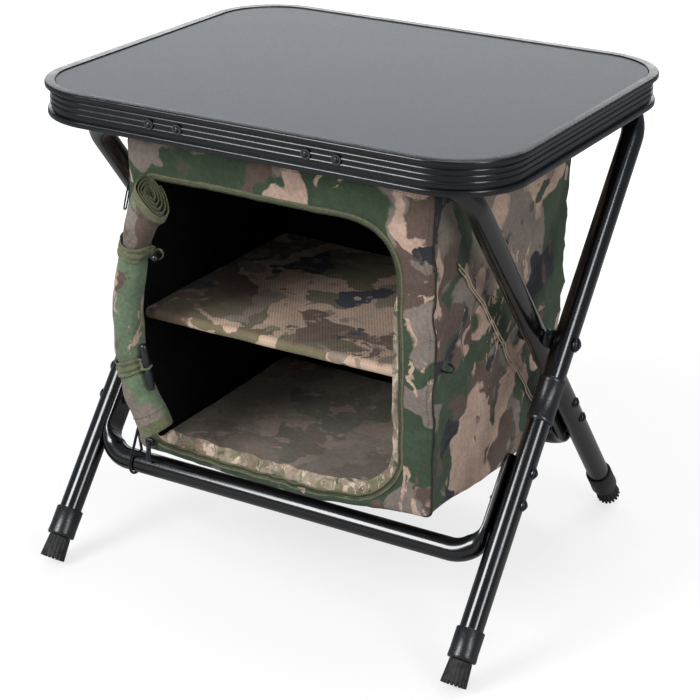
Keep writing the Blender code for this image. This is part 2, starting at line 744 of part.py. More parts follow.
def build_frames(outer, inner):
    pivot_bore = cross_bore("pivot_bore", PIVOT_RADIUS + GAP, PIVOT_Y, PIVOT_Z)
    drops = (BOLT_DROP - BOLT_SPACING / 2, BOLT_DROP + BOLT_SPACING / 2)
    hole = BOLT_RADIUS + GAP
    front = [cross_bore("front_bolt_bore", hole, *frame_point(OUTER_LEAN, drop, -1)) for drop in drops]
    rear = [cross_bore("rear_bolt_bore", hole, *frame_point(INNER_LEAN, drop, 1)) for drop in drops]
    build_leg_frame("outer", OUTER_LEG_X, OUTER_DOWN, OUTER_UP, outer, "front_stretcher", front, pivot_bore)
    build_leg_frame("inner", INNER_LEG_X, INNER_DOWN, INNER_UP, inner, "rear_stretcher", rear, pivot_bore)
    for side, word in ((-1, "left"), (1, "right")):
        collar = [
            (COLLAR_RADIUS, 0),
            (COLLAR_RADIUS, -COLLAR_LENGTH),
            (TUBE_RADIUS + GAP, -COLLAR_LENGTH),
            (TUBE_RADIUS + GAP, 0),
        ]
        turned(
            f"leg_collar_{word}",
            collar,
            PLASTIC,
            closed=True,
            parent=outer,
            location=(side * OUTER_LEG_X, 0, -COLLAR_DROP),
        )
        low = INNER_LEG_X - TUBE_RADIUS - GAP
        high = OUTER_LEG_X + TUBE_RADIUS + GAP
        build_cross_pin(
            f"pivot_bolt_{word}",
            side,
            low,
            high,
            PIVOT_RADIUS,
            PIVOT_HEAD_RADIUS,
            PIVOT_HEAD_HEIGHT,
            outer,
            0.0,
        )
        half = (OUTER_LEG_X - INNER_LEG_X) / 2 - TUBE_RADIUS - GAP
        hole = PIVOT_RADIUS + GAP
        spacer = [(SPACER_RADIUS, half), (SPACER_RADIUS, -half), (hole, -half), (hole, half)]
        turned(
            f"pivot_spacer_{word}",
            spacer,
            PLASTIC,
            closed=True,
            parent=outer,
            location=(side * (OUTER_LEG_X + INNER_LEG_X) / 2, 0, 0),
            rotation=(0, math.pi / 2, 0),
        )


def band_outline(inner, thickness, angle, tail_end, tail_width):
    """A ring with a flat tail that points along the angle and ends that far from the centre."""
    outer = inner + thickness
    spread = math.asin(tail_width / 2 / outer)
    ring = arc((0, 0), outer, angle + spread, angle + 2 * math.pi - spread, 2 * ARC_STEPS)
    along, across = (math.cos(angle), math.sin(angle)), (-math.sin(angle), math.cos(angle))
    tip = [
        (
            tail_end * along[0] + side * tail_width / 2 * across[0],
            tail_end * along[1] + side * tail_width / 2 * across[1],
        )
        for side in (-1, 1)
    ]
    hole = arc((0, 0), inner, 0, 2 * math.pi, 2 * ARC_STEPS)[:-1]
    return [ring + tip, hole]


def build_rail_straps(outer, inner):
    """Webbing rings on the rails, with tails that reach the bag's top edges."""
    seam_y = BAG_FRONT_TOP_Y - GAP - PANEL
    seam_z = BAG_TOP + 2 * PIPING_RADIUS + GAP
    front_reach = INNER_UP - math.hypot(seam_y - PIVOT_Y, seam_z - PIVOT_Z) - GAP
    front_angle = math.atan2(PIVOT_Z - RAIL_Z, PIVOT_Y - FRONT_RAIL_Y)
    corner_y, corner_z = BAG_BACK_Y - BAG_CORNER, BAG_TOP - BAG_CORNER
    rear_reach = math.hypot(corner_y - REAR_RAIL_Y, corner_z - RAIL_Z) - BAG_CORNER - GAP
    rear_angle = math.atan2(corner_z - RAIL_Z, corner_y - REAR_RAIL_Y)
    for kind, y, angle, reach, frame in (
        ("front", FRONT_RAIL_Y, front_angle, front_reach, inner),
        ("rear", REAR_RAIL_Y, rear_angle, rear_reach, outer),
    ):
        outlines = band_outline(TUBE_RADIUS + GAP, STRAP_THICKNESS, angle, reach, STRAP_TAIL_WIDTH)
        for side, word in ((-1, "left"), (1, "right")):
            strap = flat_piece(
                f"rail_strap_{kind}_{word}",
                outlines,
                STRAP_WIDTH,
                WEBBING,
                location=(side * (BAG_WIDTH / 2 - STRAP_INSET), y, RAIL_Z),
                rotation=(math.pi / 2, 0, math.pi / 2),
            )
            carry(strap, frame)


def build_bag_body():
    """The bag's top, bottom, sides and back as one thin shell, open in front."""
    work = bmesh.new()
    half = BAG_WIDTH / 2
    bmesh.ops.create_cube(work, size=1)
    for vert in work.verts:
        high, back = vert.co.z > 0, vert.co.y > 0
        front_y = BAG_FRONT_TOP_Y if high else BAG_FRONT_Y
        vert.co = (
            math.copysign(half, vert.co.x),
            BAG_BACK_Y if back else front_y,
            BAG_TOP if high else BAG_BOTTOM,
        )
    front = min(work.faces, key=lambda face: face.calc_center_median().y)
    rounded = [edge for edge in work.edges if edge not in front.edges[:]]
    bmesh.ops.delete(work, geom=[front], context="FACES_ONLY")
    bmesh.ops.bevel(work, geom=rounded, offset=BAG_CORNER, segments=3, profile=0.5, affect="EDGES")
    mesh = bpy.data.meshes.new("bag_body")
    work.to_mesh(mesh)
    work.free()
    body = add_piece("bag_body", mesh, CAMO)
    wall = body.modifiers.new("Wall", "SOLIDIFY")
    wall.thickness = PANEL
    wall.offset = -1
    shade(body)


def panel_outline():
    radius = BAG_CORNER
    return rounded_rectangle(-BAG_WIDTH / 2, BAG_WIDTH / 2, 0, PANEL_HEIGHT, [radius] * 4, 3)


def opening_outline(offset=0.0):
    left, right = OPENING_RADIUS_LEFT + offset, OPENING_RADIUS_RIGHT + offset
    return rounded_rectangle(
        OPENING_LEFT - offset,
        OPENING_RIGHT + offset,
        OPENING_BOTTOM_MARGIN - offset,
        OPENING_TOP + offset,
        (left, right, right, left),
        OPENING_STEPS,
    )


def build_front(front):
    """The front panel with its opening, zip track and seam piping; front's local XZ plane is its back."""
    flat_piece(
        "bag_front_panel",
        [panel_outline(), opening_outline()],
        PANEL,
        CAMO,
        parent=front,
        location=(0, -GAP - PANEL / 2, 0),
        rotation=(math.pi / 2, 0, 0),
    )
    face_y = -GAP - PANEL
    corner = OPENING_STEPS + 1
    track = opening_outline(ZIP_OFFSET)
    track = track[corner // 2 :] + track[-1:]
    track_y = face_y - GAP - ZIP_RADIUS
    bent_tube("zip_track", [(x, track_y, z) for x, z in track], ZIP_RADIUS, ZIP, parent=front)
    reach = PIPING_RADIUS + GAP
    left, right = -BAG_WIDTH / 2 - reach, BAG_WIDTH / 2 + reach
    bend = BAG_CORNER + reach
    seam = rounded_rectangle(left, right, -reach, PANEL_HEIGHT + reach, [bend] * 4, 3)
    piping = [(PIPING_START - BAG_WIDTH / 2, -reach), *seam[4:], (left, PANEL_HEIGHT - PIPING_END_DROP)]
    piping_y = -GAP - PANEL / 2
    bent_tube("front_piping", [(x, piping_y, z) for x, z in piping], PIPING_RADIUS, PIPING, parent=front)


def build_inner_boards():
    inside = BAG_WIDTH / 2 - PANEL - SOFT_GAP
    back = BAG_BACK_Y - PANEL - SOFT_GAP
    box(
        "shelf",
        (-inside, BAG_FRONT_Y + SHELF_SETBACK, BAG_BOTTOM + SHELF_HEIGHT - SHELF_THICKNESS / 2),
        (inside, back, BAG_BOTTOM + SHELF_HEIGHT + SHELF_THICKNESS / 2),
        MESH_CLOTH,
        corner=BAG_CORNER,
    )
    flat = BAG_WIDTH / 2 - BAG_CORNER
    floor = BAG_BOTTOM + PANEL + SOFT_GAP
    box(
        "base_board",
        (-flat, BAG_FRONT_Y + GAP, floor),
        (flat, BAG_BACK_Y - BAG_CORNER, floor + BASE_BOARD_THICKNESS),
        CAMO,
        corner=BAG_CORNER / 2,
    )


def roll_line(height, roll_top):
    """Sideways place and slope of the roll's axis at a height: its two ends bow in over the opening."""
    span = roll_top - ROLL_MIDDLE if height > ROLL_MIDDLE else ROLL_MIDDLE - ROLL_BOTTOM
    bow = ROLL_TOP_BOW if height > ROLL_MIDDLE else ROLL_BOTTOM_BOW
    away = height - ROLL_MIDDLE
    return OPENING_LEFT + ROLL_SHIFT + bow * (away / span) ** 2, 2 * bow * away / span**2


def build_roll(front):
    """The door rolled up beside the opening, drawn in at its two ties."""
    roll_top = PANEL_HEIGHT - ROLL_TOP_MARGIN
    axis_y = -TRACK_DEPTH - ROLL_END_RADIUS
    beside_tie = TIE_WIDTH / 2 + TIE_MARGIN
    stations = [(ROLL_BOTTOM, ROLL_END_RADIUS)]
    stations += [(LOWER_TIE - beside_tie, ROLL_WAIST_RADIUS), (LOWER_TIE + beside_tie, ROLL_WAIST_RADIUS)]
    stations += [((LOWER_TIE + UPPER_TIE) / 2, ROLL_RADIUS)]
    stations += [(UPPER_TIE - beside_tie, ROLL_WAIST_RADIUS), (UPPER_TIE + beside_tie, ROLL_WAIST_RADIUS)]
    stations += [(roll_top, ROLL_END_RADIUS)]
    heights, radii = [], []
    for (low, low_radius), (high, high_radius) in zip(stations, stations[1:]):
        for share in (0, 0.5):
            heights.append(low + (high - low) * share)
            radii.append(low_radius + (high_radius - low_radius) * share)
    heights.append(roll_top)
    radii.append(ROLL_END_RADIUS)
    points = [(roll_line(height, roll_top)[0], axis_y, height) for height in heights]
    roll = bent_tube("door_roll", points, 1.0, CAMO, resolution=4, parent=front)
    for point, radius in zip(roll.data.splines[0].points, radii):
        point.radius = radius
    ring = ROLL_WAIST_RADIUS + SOFT_GAP
    for word, height, angle, tail, tilt in (
        ("upper", UPPER_TIE, UPPER_TIE_ANGLE, UPPER_TIE_TAIL, UPPER_TOGGLE_TILT),
        ("lower", LOWER_TIE, LOWER_TIE_ANGLE, LOWER_TIE_TAIL, LOWER_TOGGLE_TILT),
    ):
        build_tie(word, height, roll_top, axis_y, ring, angle, tail, tilt, front)


def build_tie(word, height, roll_top, axis_y, ring, angle, tail, tilt, front):
    """A webbing ring square to the roll, with a tail that holds a toggle off it, across the tail's end."""
    axis_x, slope = roll_line(height, roll_top)
    square = Matrix.Translation((axis_x, axis_y, height)) @ Matrix.Rotation(math.atan(slope), 4, "Y")
    tail_end = ring + TIE_THICKNESS + tail
    flat_piece(
        f"tie_strap_{word}",
        band_outline(ring, TIE_THICKNESS, angle, tail_end, TIE_TAIL_WIDTH),
        TIE_WIDTH,
        OLIVE,
        parent=front,
        location=square.to_translation(),
        rotation=square.to_euler(),
    )
    reach = tail_end + GAP + TOGGLE_RADIUS
    held = square @ Matrix.Rotation(angle, 4, "Z")
    held = held @ Matrix.Translation((reach, 0, 0)) @ Matrix.Rotation(tilt, 4, "X")
    toggle = [
        (0, TOGGLE_LENGTH / 2),
        (TOGGLE_RADIUS * 0.7, TOGGLE_LENGTH / 2 - TOGGLE_RADIUS * 0.2),
        (TOGGLE_RADIUS, TOGGLE_LENGTH / 2 - TOGGLE_RADIUS),
        (TOGGLE_RADIUS, TOGGLE_RADIUS - TOGGLE_LENGTH / 2),
        (TOGGLE_RADIUS * 0.7, TOGGLE_RADIUS * 0.2 - TOGGLE_LENGTH / 2),
        (0, -TOGGLE_LENGTH / 2),
    ]
    turned(
        f"toggle_{word}",
        toggle,
        PLASTIC,
        steps=10,
        parent=front,
        location=held.to_translation(),
        rotation=held.to_euler(),
    )


def build_zip_pull(front, pull_axis):
    """A slider on the lower left end of the zip and a tab that hangs from it."""
    height = OPENING_BOTTOM_MARGIN - ZIP_OFFSET
    middle = OPENING_LEFT + SLIDER_SHIFT
    box(
        "zip_slider",
        (middle - SLIDER_WIDTH / 2, -TRACK_DEPTH - SLIDER_THICKNESS, height - SLIDER_HEIGHT / 2),
        (middle + SLIDER_WIDTH / 2, -TRACK_DEPTH, height + SLIDER_HEIGHT / 2),
        STEEL_BLACK,
        parent=front,
    )
    box(
        "zip_pull",
        (-PULL_WIDTH / 2, -PULL_THICKNESS / 2, -PULL_LENGTH),
        (PULL_WIDTH / 2, PULL_THICKNESS / 2, 0),
        WEBBING,
        parent=pull_axis,
    )


def loop_around_bar():
    """Teardrop loop from the bag's corner down round the front stretcher and back up."""
    bar_y, bar_z = FRONT_BAR_Y, FRONT_BAR_Z
    apex_y, apex_z = BAG_FRONT_Y - PANEL, BAG_BOTTOM + ELASTIC_RISE
    apex_x = -BAG_WIDTH / 2 - ELASTIC_RADIUS - GAP
    radius = TUBE_RADIUS + GAP + ELASTIC_RADIUS
    away = math.atan2(apex_z - bar_z, apex_y - bar_y)
    reach = math.hypot(apex_z - bar_z, apex_y - bar_y)
    open_angle = math.acos(radius / reach)
    ring = arc((bar_y, bar_z), radius, away + open_angle, away + 2 * math.pi - open_angle, ARC_STEPS)
    points = [(apex_x, apex_y, apex_z)]
    for i, (y, z) in enumerate(ring):
        share = i / (len(ring) - 1)
        points.append((-BAG_WIDTH / 2 - ELASTIC_CLEARANCE - ELASTIC_SPREAD * share, y, z))
    return points


def build_small_parts():
    bent_tube("corner_elastic", loop_around_bar(), ELASTIC_RADIUS, ELASTIC, cyclic=True)
    side = BAG_WIDTH / 2 + GAP
    span = SIDE_LOOP_SPAN
    loop_y, loop_z = BAG_FRONT_Y + SIDE_LOOP_SETBACK, BAG_BOTTOM + SIDE_LOOP_HEIGHT
    loop = [(side + x, loop_y + y, loop_z) for y, x in arc((0, 0), span, 0, math.pi, 8)]
    bent_tube("side_loop", loop, SIDE_LOOP_RADIUS, ELASTIC)
    front_y, back_y = BAG_FRONT_Y + POCKET_FRONT_MARGIN, BAG_BACK_Y - POCKET_BACK_MARGIN
    bottom = BAG_BOTTOM + POCKET_BOTTOM_MARGIN
    pocket = [
        (front_y, bottom),
        (back_y, bottom),
        (back_y, BAG_BOTTOM + POCKET_REAR_HEIGHT),
        (front_y, BAG_BOTTOM + POCKET_FRONT_HEIGHT),
    ]
    flat_piece(
        "side_pocket",
        [pocket],
        POCKET_THICKNESS,
        CAMO,
        location=(BAG_WIDTH / 2 + GAP + POCKET_THICKNESS / 2, 0, 0),
        rotation=(math.pi / 2, 0, math.pi / 2),
    )


def main():
    pivot = (0, PIVOT_Y, PIVOT_Z)
    outer = axis_empty("outer_frame_axis", pivot, (-OUTER_LEAN, 0, 0))
    inner = axis_empty("inner_frame_axis", pivot, (INNER_LEAN, 0, 0))
    lid = axis_empty("tabletop_axis", (0, REAR_RAIL_Y, RAIL_Z))
    front = axis_empty("bag_front_plane", (0, BAG_FRONT_Y, BAG_BOTTOM), (PANEL_LEAN, 0, 0))
    pull_y = -TRACK_DEPTH - SLIDER_THICKNESS - GAP - PULL_THICKNESS / 2
    pull_z = OPENING_BOTTOM_MARGIN - ZIP_OFFSET
    lean_y = BAG_FRONT_Y + pull_y * math.cos(PANEL_LEAN) - pull_z * math.sin(PANEL_LEAN)
    lean_z = BAG_BOTTOM + pull_y * math.sin(PANEL_LEAN) + pull_z * math.cos(PANEL_LEAN)
    pull_axis = axis_empty("zip_pull_axis", (OPENING_LEFT + SLIDER_SHIFT, lean_y, lean_z))
    build_tabletop(lid)
    for side, word in ((-1, "left"), (1, "right")):
        build_bracket(f"front_clip_{word}", side, -1, FRONT_RAIL_Y, False, PLASTIC, lid)
        build_bracket(f"rear_hinge_{word}", side, 1, REAR_RAIL_Y, True, PLASTIC, lid)
    build_frames(outer, inner)
    build_rail_straps(outer, inner)
    build_bag_body()
    build_front(front)
    build_inner_boards()
    build_roll(front)
    build_zip_pull(front, pull_axis)
    build_small_parts()


clear_scene()
PARTS = new_collection("bivvy_table")
CUTTERS = new_collection("cutters")
LAMINATE = finish("grey_laminate", (0.235, 0.245, 0.255), 0.45)
EDGE_BLACK = finish("black_edging", (0.010, 0.010, 0.011), 0.25, 0.3)
TUBE_BLACK = finish("black_tube", (0.008, 0.008, 0.010), 0.12, 0.4)
STEEL_BLACK = finish("black_steel", (0.020, 0.020, 0.022), 0.35, 0.8)
PLASTIC = finish("black_plastic", (0.030, 0.030, 0.032), 0.45)
RUBBER = finish("black_rubber", (0.020, 0.020, 0.020), 0.8)
CAMO = finish("camouflage_cloth", (0.110, 0.120, 0.070), 0.9)
MESH_CLOTH = finish("mesh_cloth", (0.150, 0.125, 0.085), 0.9)
WEBBING = finish("black_webbing", (0.015, 0.015, 0.015), 0.85)
OLIVE = finish("olive_webbing", (0.160, 0.160, 0.070), 0.8)
ZIP = finish("dark_zip", (0.030, 0.032, 0.026), 0.6)
PIPING = finish("dark_piping", (0.050, 0.045, 0.032), 0.8)
ELASTIC = finish("black_elastic", (0.012, 0.012, 0.012), 0.75)
main()
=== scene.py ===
"""Dresses the folding bedside table: fine metal, moulded and sewn pieces over its fixed frame."""

import math

import bmesh
import bpy
import numpy as np
from mathutils import Matrix, Vector, noise


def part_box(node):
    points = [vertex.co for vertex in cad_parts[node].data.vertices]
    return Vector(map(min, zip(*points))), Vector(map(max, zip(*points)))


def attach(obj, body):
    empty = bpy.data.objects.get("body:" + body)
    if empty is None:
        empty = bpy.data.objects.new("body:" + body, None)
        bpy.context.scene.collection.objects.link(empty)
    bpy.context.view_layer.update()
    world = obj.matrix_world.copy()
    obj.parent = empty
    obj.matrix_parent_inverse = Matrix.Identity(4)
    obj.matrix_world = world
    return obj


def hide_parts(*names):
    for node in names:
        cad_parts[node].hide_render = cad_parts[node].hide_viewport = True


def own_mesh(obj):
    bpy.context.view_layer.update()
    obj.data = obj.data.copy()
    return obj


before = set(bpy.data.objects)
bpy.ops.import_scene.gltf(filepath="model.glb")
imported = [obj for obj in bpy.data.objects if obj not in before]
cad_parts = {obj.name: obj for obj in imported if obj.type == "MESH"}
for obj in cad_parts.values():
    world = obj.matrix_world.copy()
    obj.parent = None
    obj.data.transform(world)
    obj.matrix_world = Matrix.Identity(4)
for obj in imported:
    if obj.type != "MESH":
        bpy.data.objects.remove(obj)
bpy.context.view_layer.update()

# Blender starts its vector noise from the clock, so the cloth's wrinkles need a fixed start
noise.seed_set(7)

bl_info = {
    "name": "Folding bedside table",
    "version": (1, 0, 0),
    "blender": (4, 5, 0),
    "location": "3D View > Sidebar > Table",
    "description": "Builds the looks of a folding bedside table with a two-deck camouflage bag",
    "category": "Object",
}

# Places of the frame, in metres. The two leg frames cross at the pivot.
PIVOT = Vector((0, -0.00506, 0.26383))
OUTER_LEAN = 0.6726185
INNER_LEAN = 0.6967848
RAIL_Z = 0.4595
FRONT_RAIL_Y = -0.1688
REAR_RAIL_Y = 0.1508
OUTER = Matrix.Translation(PIVOT) @ Matrix.Rotation(-OUTER_LEAN, 4, "X")
INNER = Matrix.Translation(PIVOT) @ Matrix.Rotation(INNER_LEAN, 4, "X")
OUTER_LEG_X, OUTER_DOWN, OUTER_UP = 0.2218, 0.32764, 0.25012
INNER_LEG_X, INNER_DOWN, INNER_UP = 0.1922, 0.33371, 0.25510
TUBE = 0.011

# The bag, from its bottom front edge; its front leans out towards the top
BAG_HALF = 0.1625
BAG_LOW, BAG_HIGH = 0.121, 0.441
BAG_FRONT, BAG_FRONT_TOP, BAG_BACK = -0.137, -0.160, 0.1328
PANEL_LEAN = math.atan2(BAG_FRONT - BAG_FRONT_TOP, BAG_HIGH - BAG_LOW)
PANEL_HEIGHT = math.hypot(BAG_FRONT - BAG_FRONT_TOP, BAG_HIGH - BAG_LOW)
FRONT = Matrix.Translation((0, BAG_FRONT, BAG_LOW)) @ Matrix.Rotation(PANEL_LEAN, 4, "X")
OPENING = (-0.150, 0.129, 0.011, 0.2838)  # left, right, bottom and top on the front panel
OPENING_RADII = (0.020, 0.048, 0.048, 0.020)
BAG_MIDDLE = (0, 0, 0.28)
BAG_CORNER = 0.007
SIDES = ((-1, "left"), (1, "right"))
LEGS = (("outer", OUTER, OUTER_LEG_X, OUTER_DOWN), ("inner", INNER, INNER_LEG_X, INNER_DOWN))


def tint(code):
    """A colour written as sRGB hex, such as #4d5a4d, as linear red, green and blue."""
    shares = [int(code[i : i + 2], 16) / 255 for i in (1, 3, 5)]
    return tuple(s / 12.92 if s <= 0.04045 else ((s + 0.055) / 1.055) ** 2.4 for s in shares)


def add(tree, kind, inputs=None, **settings):
    """Adds a node with its settings; each input is given a plain value or the socket that feeds it."""
    made = tree.nodes.new(kind)
    for name, value in settings.items():
        setattr(made, name, value)
    for key, value in (inputs or {}).items():
        if isinstance(value, bpy.types.NodeSocket):
            tree.links.new(value, made.inputs[key])
        else:
            made.inputs[key].default_value = value
    return made


def colour_input(name, description, code):
    return bpy.props.FloatVectorProperty(
        name=name, description=description, subtype="COLOR", size=3, min=0, max=1, default=tint(code)
    )


def length_input(name, description, default, low, high=0.5):
    return bpy.props.FloatProperty(
        name=name, description=description, unit="LENGTH", subtype="DISTANCE", precision=4,
        min=low, max=high, default=default,
    )


class TableColours(bpy.types.PropertyGroup):
    """Colours that a user would change"""

    laminate: colour_input("Tabletop", "Grey of the tabletop's laminate", "#3f4449")
    edging: colour_input("Edging", "Black of the edging round the tabletop", "#0b0d12")
    tube: colour_input("Tubes", "Gloss black of the frame tubes", "#070709")
    plastic: colour_input("Mouldings", "Black of the collars, ferrules and clips", "#1b1c1f")
    rubber: colour_input("Feet", "Black of the rubber feet", "#1e1f21")
    khaki: colour_input("Camouflage base", "Grey khaki under the other blotches", "#7c726a")
    tan: colour_input("Camouflage tan", "Palest blotches", "#b59b8b")
    green: colour_input("Camouflage green", "Green blotches", "#3b4a38")
    brown: colour_input("Camouflage brown", "Brown blotches", "#5d4e46")
    navy: colour_input("Camouflage dark", "Darkest blotches", "#2b2d33")
    binding: colour_input("Binding", "Olive of the zip tape, bindings and ties", "#5f624a")
    lining: colour_input("Lining", "Black of the bag's inside", "#0b0b0c")


class TableSizes(bpy.types.PropertyGroup):
    """Sizes that a user would change"""

    blotch: length_input("Blotch", "Usual width of a camouflage blotch", 0.074, 0.01)
    thread: length_input("Thread", "Spacing of the cloth's threads as drawn", 0.0011, 0.0003, 0.01)
    sag: length_input("Sag", "How far the bag's bottom hangs below its seams", 0.0085, 0, 0.02)
    wrinkle: length_input("Wrinkle", "Depth of the cloth's wrinkles", 0.0016, 0, 0.01)
    stitch: length_input("Stitch", "Length of one stitch", 0.0032, 0.001, 0.02)
    tooth: length_input("Zip tooth", "Spacing of the zip's teeth", 0.0019, 0.0005, 0.01)
    rib_depth: length_input("Foot rib", "Depth of the ribs round a foot", 0.0011, 0, 0.005)
    rib_count: bpy.props.IntProperty(
        name="Foot ribs", description="Number of ribs round a foot", min=4, max=40, default=18
    )
    roll_turns: bpy.props.FloatProperty(
        name="Roll turns", description="Turns of cloth in the rolled door", min=1, max=6.0, default=4.5
    )


def colours():
    return bpy.context.scene.table_colours


def sizes():
    return bpy.context.scene.table_sizes


# Mesh helpers


def skin(rows, wrap=False, join=False, caps=False):
    """Faces over rows of points. Wrap closes each row, join closes last row to first, caps closes both ends."""
    count = len(rows[0])
    points = [tuple(point) for row in rows for point in row]
    faces = []
    for i in range(len(rows) if join else len(rows) - 1):
        low, high = i * count, ((i + 1) % len(rows)) * count
        for j in range(count if wrap else count - 1):
            k = (j + 1) % count
            faces.append((low + j, high + j, high + k, low + k))
    if caps:
        last = (len(rows) - 1) * count
        faces += [tuple(range(count)), tuple(range(last + count - 1, last - 1, -1))]
    return points, faces


def joined(*parts):
    """Several lists of points and faces as one."""
    points, faces = [], []
    for more_points, more_faces in parts:
        faces += [tuple(i + len(points) for i in face) for face in more_faces]
        points += more_points
    return points, faces


def placed(matrix, part):
    return [tuple(matrix @ Vector(p)) for p in part[0]], part[1]


def mesh_of(name, part, merge=True):
    """A mesh of (points, faces) with its doubles merged and its faces turned outwards."""
    mesh = bpy.data.meshes.new(name)
    mesh.from_pydata(part[0], [], part[1])
    work = bmesh.new()
    work.from_mesh(mesh)
    if merge:
        bmesh.ops.remove_doubles(work, verts=work.verts, dist=1e-6)
    bmesh.ops.recalc_face_normals(work, faces=work.faces)
    work.to_mesh(mesh)
    work.free()
    return mesh


def add_object(name, mesh, material=None, angle=38):
    made = bpy.data.objects.new(name, mesh)
    bpy.context.scene.collection.objects.link(made)
    if material:
        made.data.materials.append(material)
    shade(made, angle)
    return made


def shade(made, angle):
    """Smooth shading with sharp edges past an angle in degrees."""
    made.data.shade_smooth()
    made.data.set_sharp_from_angle(angle=math.radians(angle))


def made_of(name, part, material, angle=38, merge=True):
    """An object of one material from (points, faces)."""
    return add_object(name, mesh_of(name, part, merge), finish(material), angle)


def solid(made, name=None):
    """The object with its modifiers applied, as a plain mesh at the origin."""
    bpy.context.view_layer.update()
    graph = bpy.context.evaluated_depsgraph_get()
    mesh = bpy.data.meshes.new_from_object(made.evaluated_get(graph))
    mesh.transform(made.matrix_world)
    name = name or made.name
    bpy.data.objects.remove(made, do_unlink=True)
    plain = bpy.data.objects.new(name, mesh)
    plain.name = mesh.name = name
    bpy.context.scene.collection.objects.link(plain)
    return plain


def settle_in(piece, body, nodes):
    """Puts a finished piece on its body, in place of the frame's own nodes."""
    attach(piece, body)
    if nodes:
        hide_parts(*nodes)


def merged_copy(node, name):
    """A copy of one of the frame's nodes with its loose triangles merged, ready for a bevel."""
    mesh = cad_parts[node].data.copy()
    mesh.materials.clear()
    work = bmesh.new()
    work.from_mesh(mesh)
    bmesh.ops.remove_doubles(work, verts=work.verts, dist=2e-6)
    bmesh.ops.dissolve_limit(work, angle_limit=math.radians(1), verts=work.verts, edges=work.edges)
    work.to_mesh(mesh)
    work.free()
    return add_object(name, mesh)


def rounded_copy(node, name, width, segments, material, angle):
    """A copy of one of the frame's nodes with rounded edges, in one material."""
    copy = merged_copy(node, name)
    step = copy.modifiers.new("Edges", "BEVEL")
    step.width = width
    step.segments = segments
    step.limit_method = "ANGLE"
    step.angle_limit = math.radians(35)
    step.harden_normals = False
    copy = solid(copy)
    copy.data.materials.append(finish(material))
    shade(copy, angle)
    return copy


def arc(centre, radius, start, end, steps):
    turns = [start + (end - start) * i / steps for i in range(steps + 1)]
    return [(centre[0] + radius * math.cos(t), centre[1] + radius * math.sin(t)) for t in turns]


def rounded_outline(left, right, bottom, top, radii, steps):
    """Outline from the bottom left corner, anticlockwise."""
    corners = (
        (left, bottom, 1, 1, math.pi),
        (right, bottom, -1, 1, 1.5 * math.pi),
        (right, top, -1, -1, 0.0),
        (left, top, 1, -1, 0.5 * math.pi),
    )
    points = []
    for (x, y, side_x, side_y, start), radius in zip(corners, radii):
        centre = (x + side_x * radius, y + side_y * radius)
        points += arc(centre, radius, start, start + math.pi / 2, steps)
    return points


def turning(line, closed, up):
    """Side and up directions at each point of a line; without a fixed up they turn as little as they can."""
    line = np.asarray(line, float)
    ahead, behind = np.roll(line, -1, 0), np.roll(line, 1, 0)
    if not closed:
        ahead[-1], behind[0] = line[-1], line[0]
    along = ahead - behind
    along /= np.linalg.norm(along, axis=1)[:, None]
    if up is not None:
        ups = np.broadcast_to(np.asarray(up, float), along.shape)
        sides = np.cross(along, ups)
        sides /= np.linalg.norm(sides, axis=1)[:, None]
        return along, sides, np.cross(sides, along)
    guess = np.eye(3)[np.argmin(np.abs(along[0]))]
    side = np.cross(along[0], guess)
    sides = [side / np.linalg.norm(side)]
    for before, after in zip(along, along[1:]):
        axis = np.cross(before, after)
        size = np.linalg.norm(axis)
        side = sides[-1]
        if size > 1e-9:
            turn = Matrix.Rotation(math.atan2(size, float(before @ after)), 3, Vector(axis / size))
            side = np.array(turn @ Vector(side))
        side = side - (side @ after) * after
        sides.append(side / np.linalg.norm(side))
    sides = np.array(sides)
    return along, sides, np.cross(sides, along)


def swept(line, section, closed, up, scales=None):
    """Rows of a section of (side, up) points carried along a line."""
    _, sides, ups = turning(line, closed, up)
    rows = []
    for i, (point, side, over) in enumerate(zip(np.asarray(line, float), sides, ups)):
        size = 1 if scales is None else scales[i]
        rows.append([point + (side * x + over * y) * size for x, y in section])
    return rows


def ring(radius, sides):
    """A round section for swept."""
    turns = [2 * math.pi * i / sides for i in range(sides)]
    return [(radius * math.cos(turn), radius * math.sin(turn)) for turn in turns]


def rod(line, radius, sides, closed=False, scales=None):
    """A round bar along a line, with closed ends."""
    rows = swept(line, ring(radius, sides), closed, None, scales)
    return skin(rows, wrap=True, join=closed, caps=not closed)


def turned(profile, steps, closed=False):
    """A shape turned round local Z from (radius, height) points; ends on the axis are closed by merging."""
    rows = []
    for i in range(steps):
        turn = 2 * math.pi * i / steps
        rows.append([(r * math.cos(turn), r * math.sin(turn), z) for r, z in profile])
    return skin(rows, wrap=closed, join=True)


def curve_through(points, count):
    """Evenly spaced points on a smooth curve through a few points."""
    points = np.asarray(points, float)
    padded = np.vstack([2 * points[0] - points[1], points, 2 * points[-1] - points[-2]])
    fine = []
    for a, b, c, d in zip(padded, padded[1:], padded[2:], padded[3:]):
        for t in np.linspace(0, 1, 24, endpoint=False):
            fine.append(
                0.5 * (2 * b + (c - a) * t + (2 * a - 5 * b + 4 * c - d) * t**2 + (3 * b - a - 3 * c + d) * t**3)
            )
    fine.append(points[-1])
    fine = np.array(fine)
    reach = np.concatenate([[0], np.cumsum(np.linalg.norm(np.diff(fine, axis=0), axis=1))])
    wanted = np.linspace(0, reach[-1], count)
    return np.column_stack([np.interp(wanted, reach, fine[:, k]) for k in range(points.shape[1])])


def smooth_step(value):
    value = min(max(value, 0.0), 1.0)
    return value * value * (3 - 2 * value)


def bump_at(value, middle, width):
    """A smooth hump of height 1, as wide as stated on each side of its middle."""
    return smooth_step(1 - abs(value - middle) / width)


# Finishes. Each starts from the real material and is matched to the object under plain soft light.


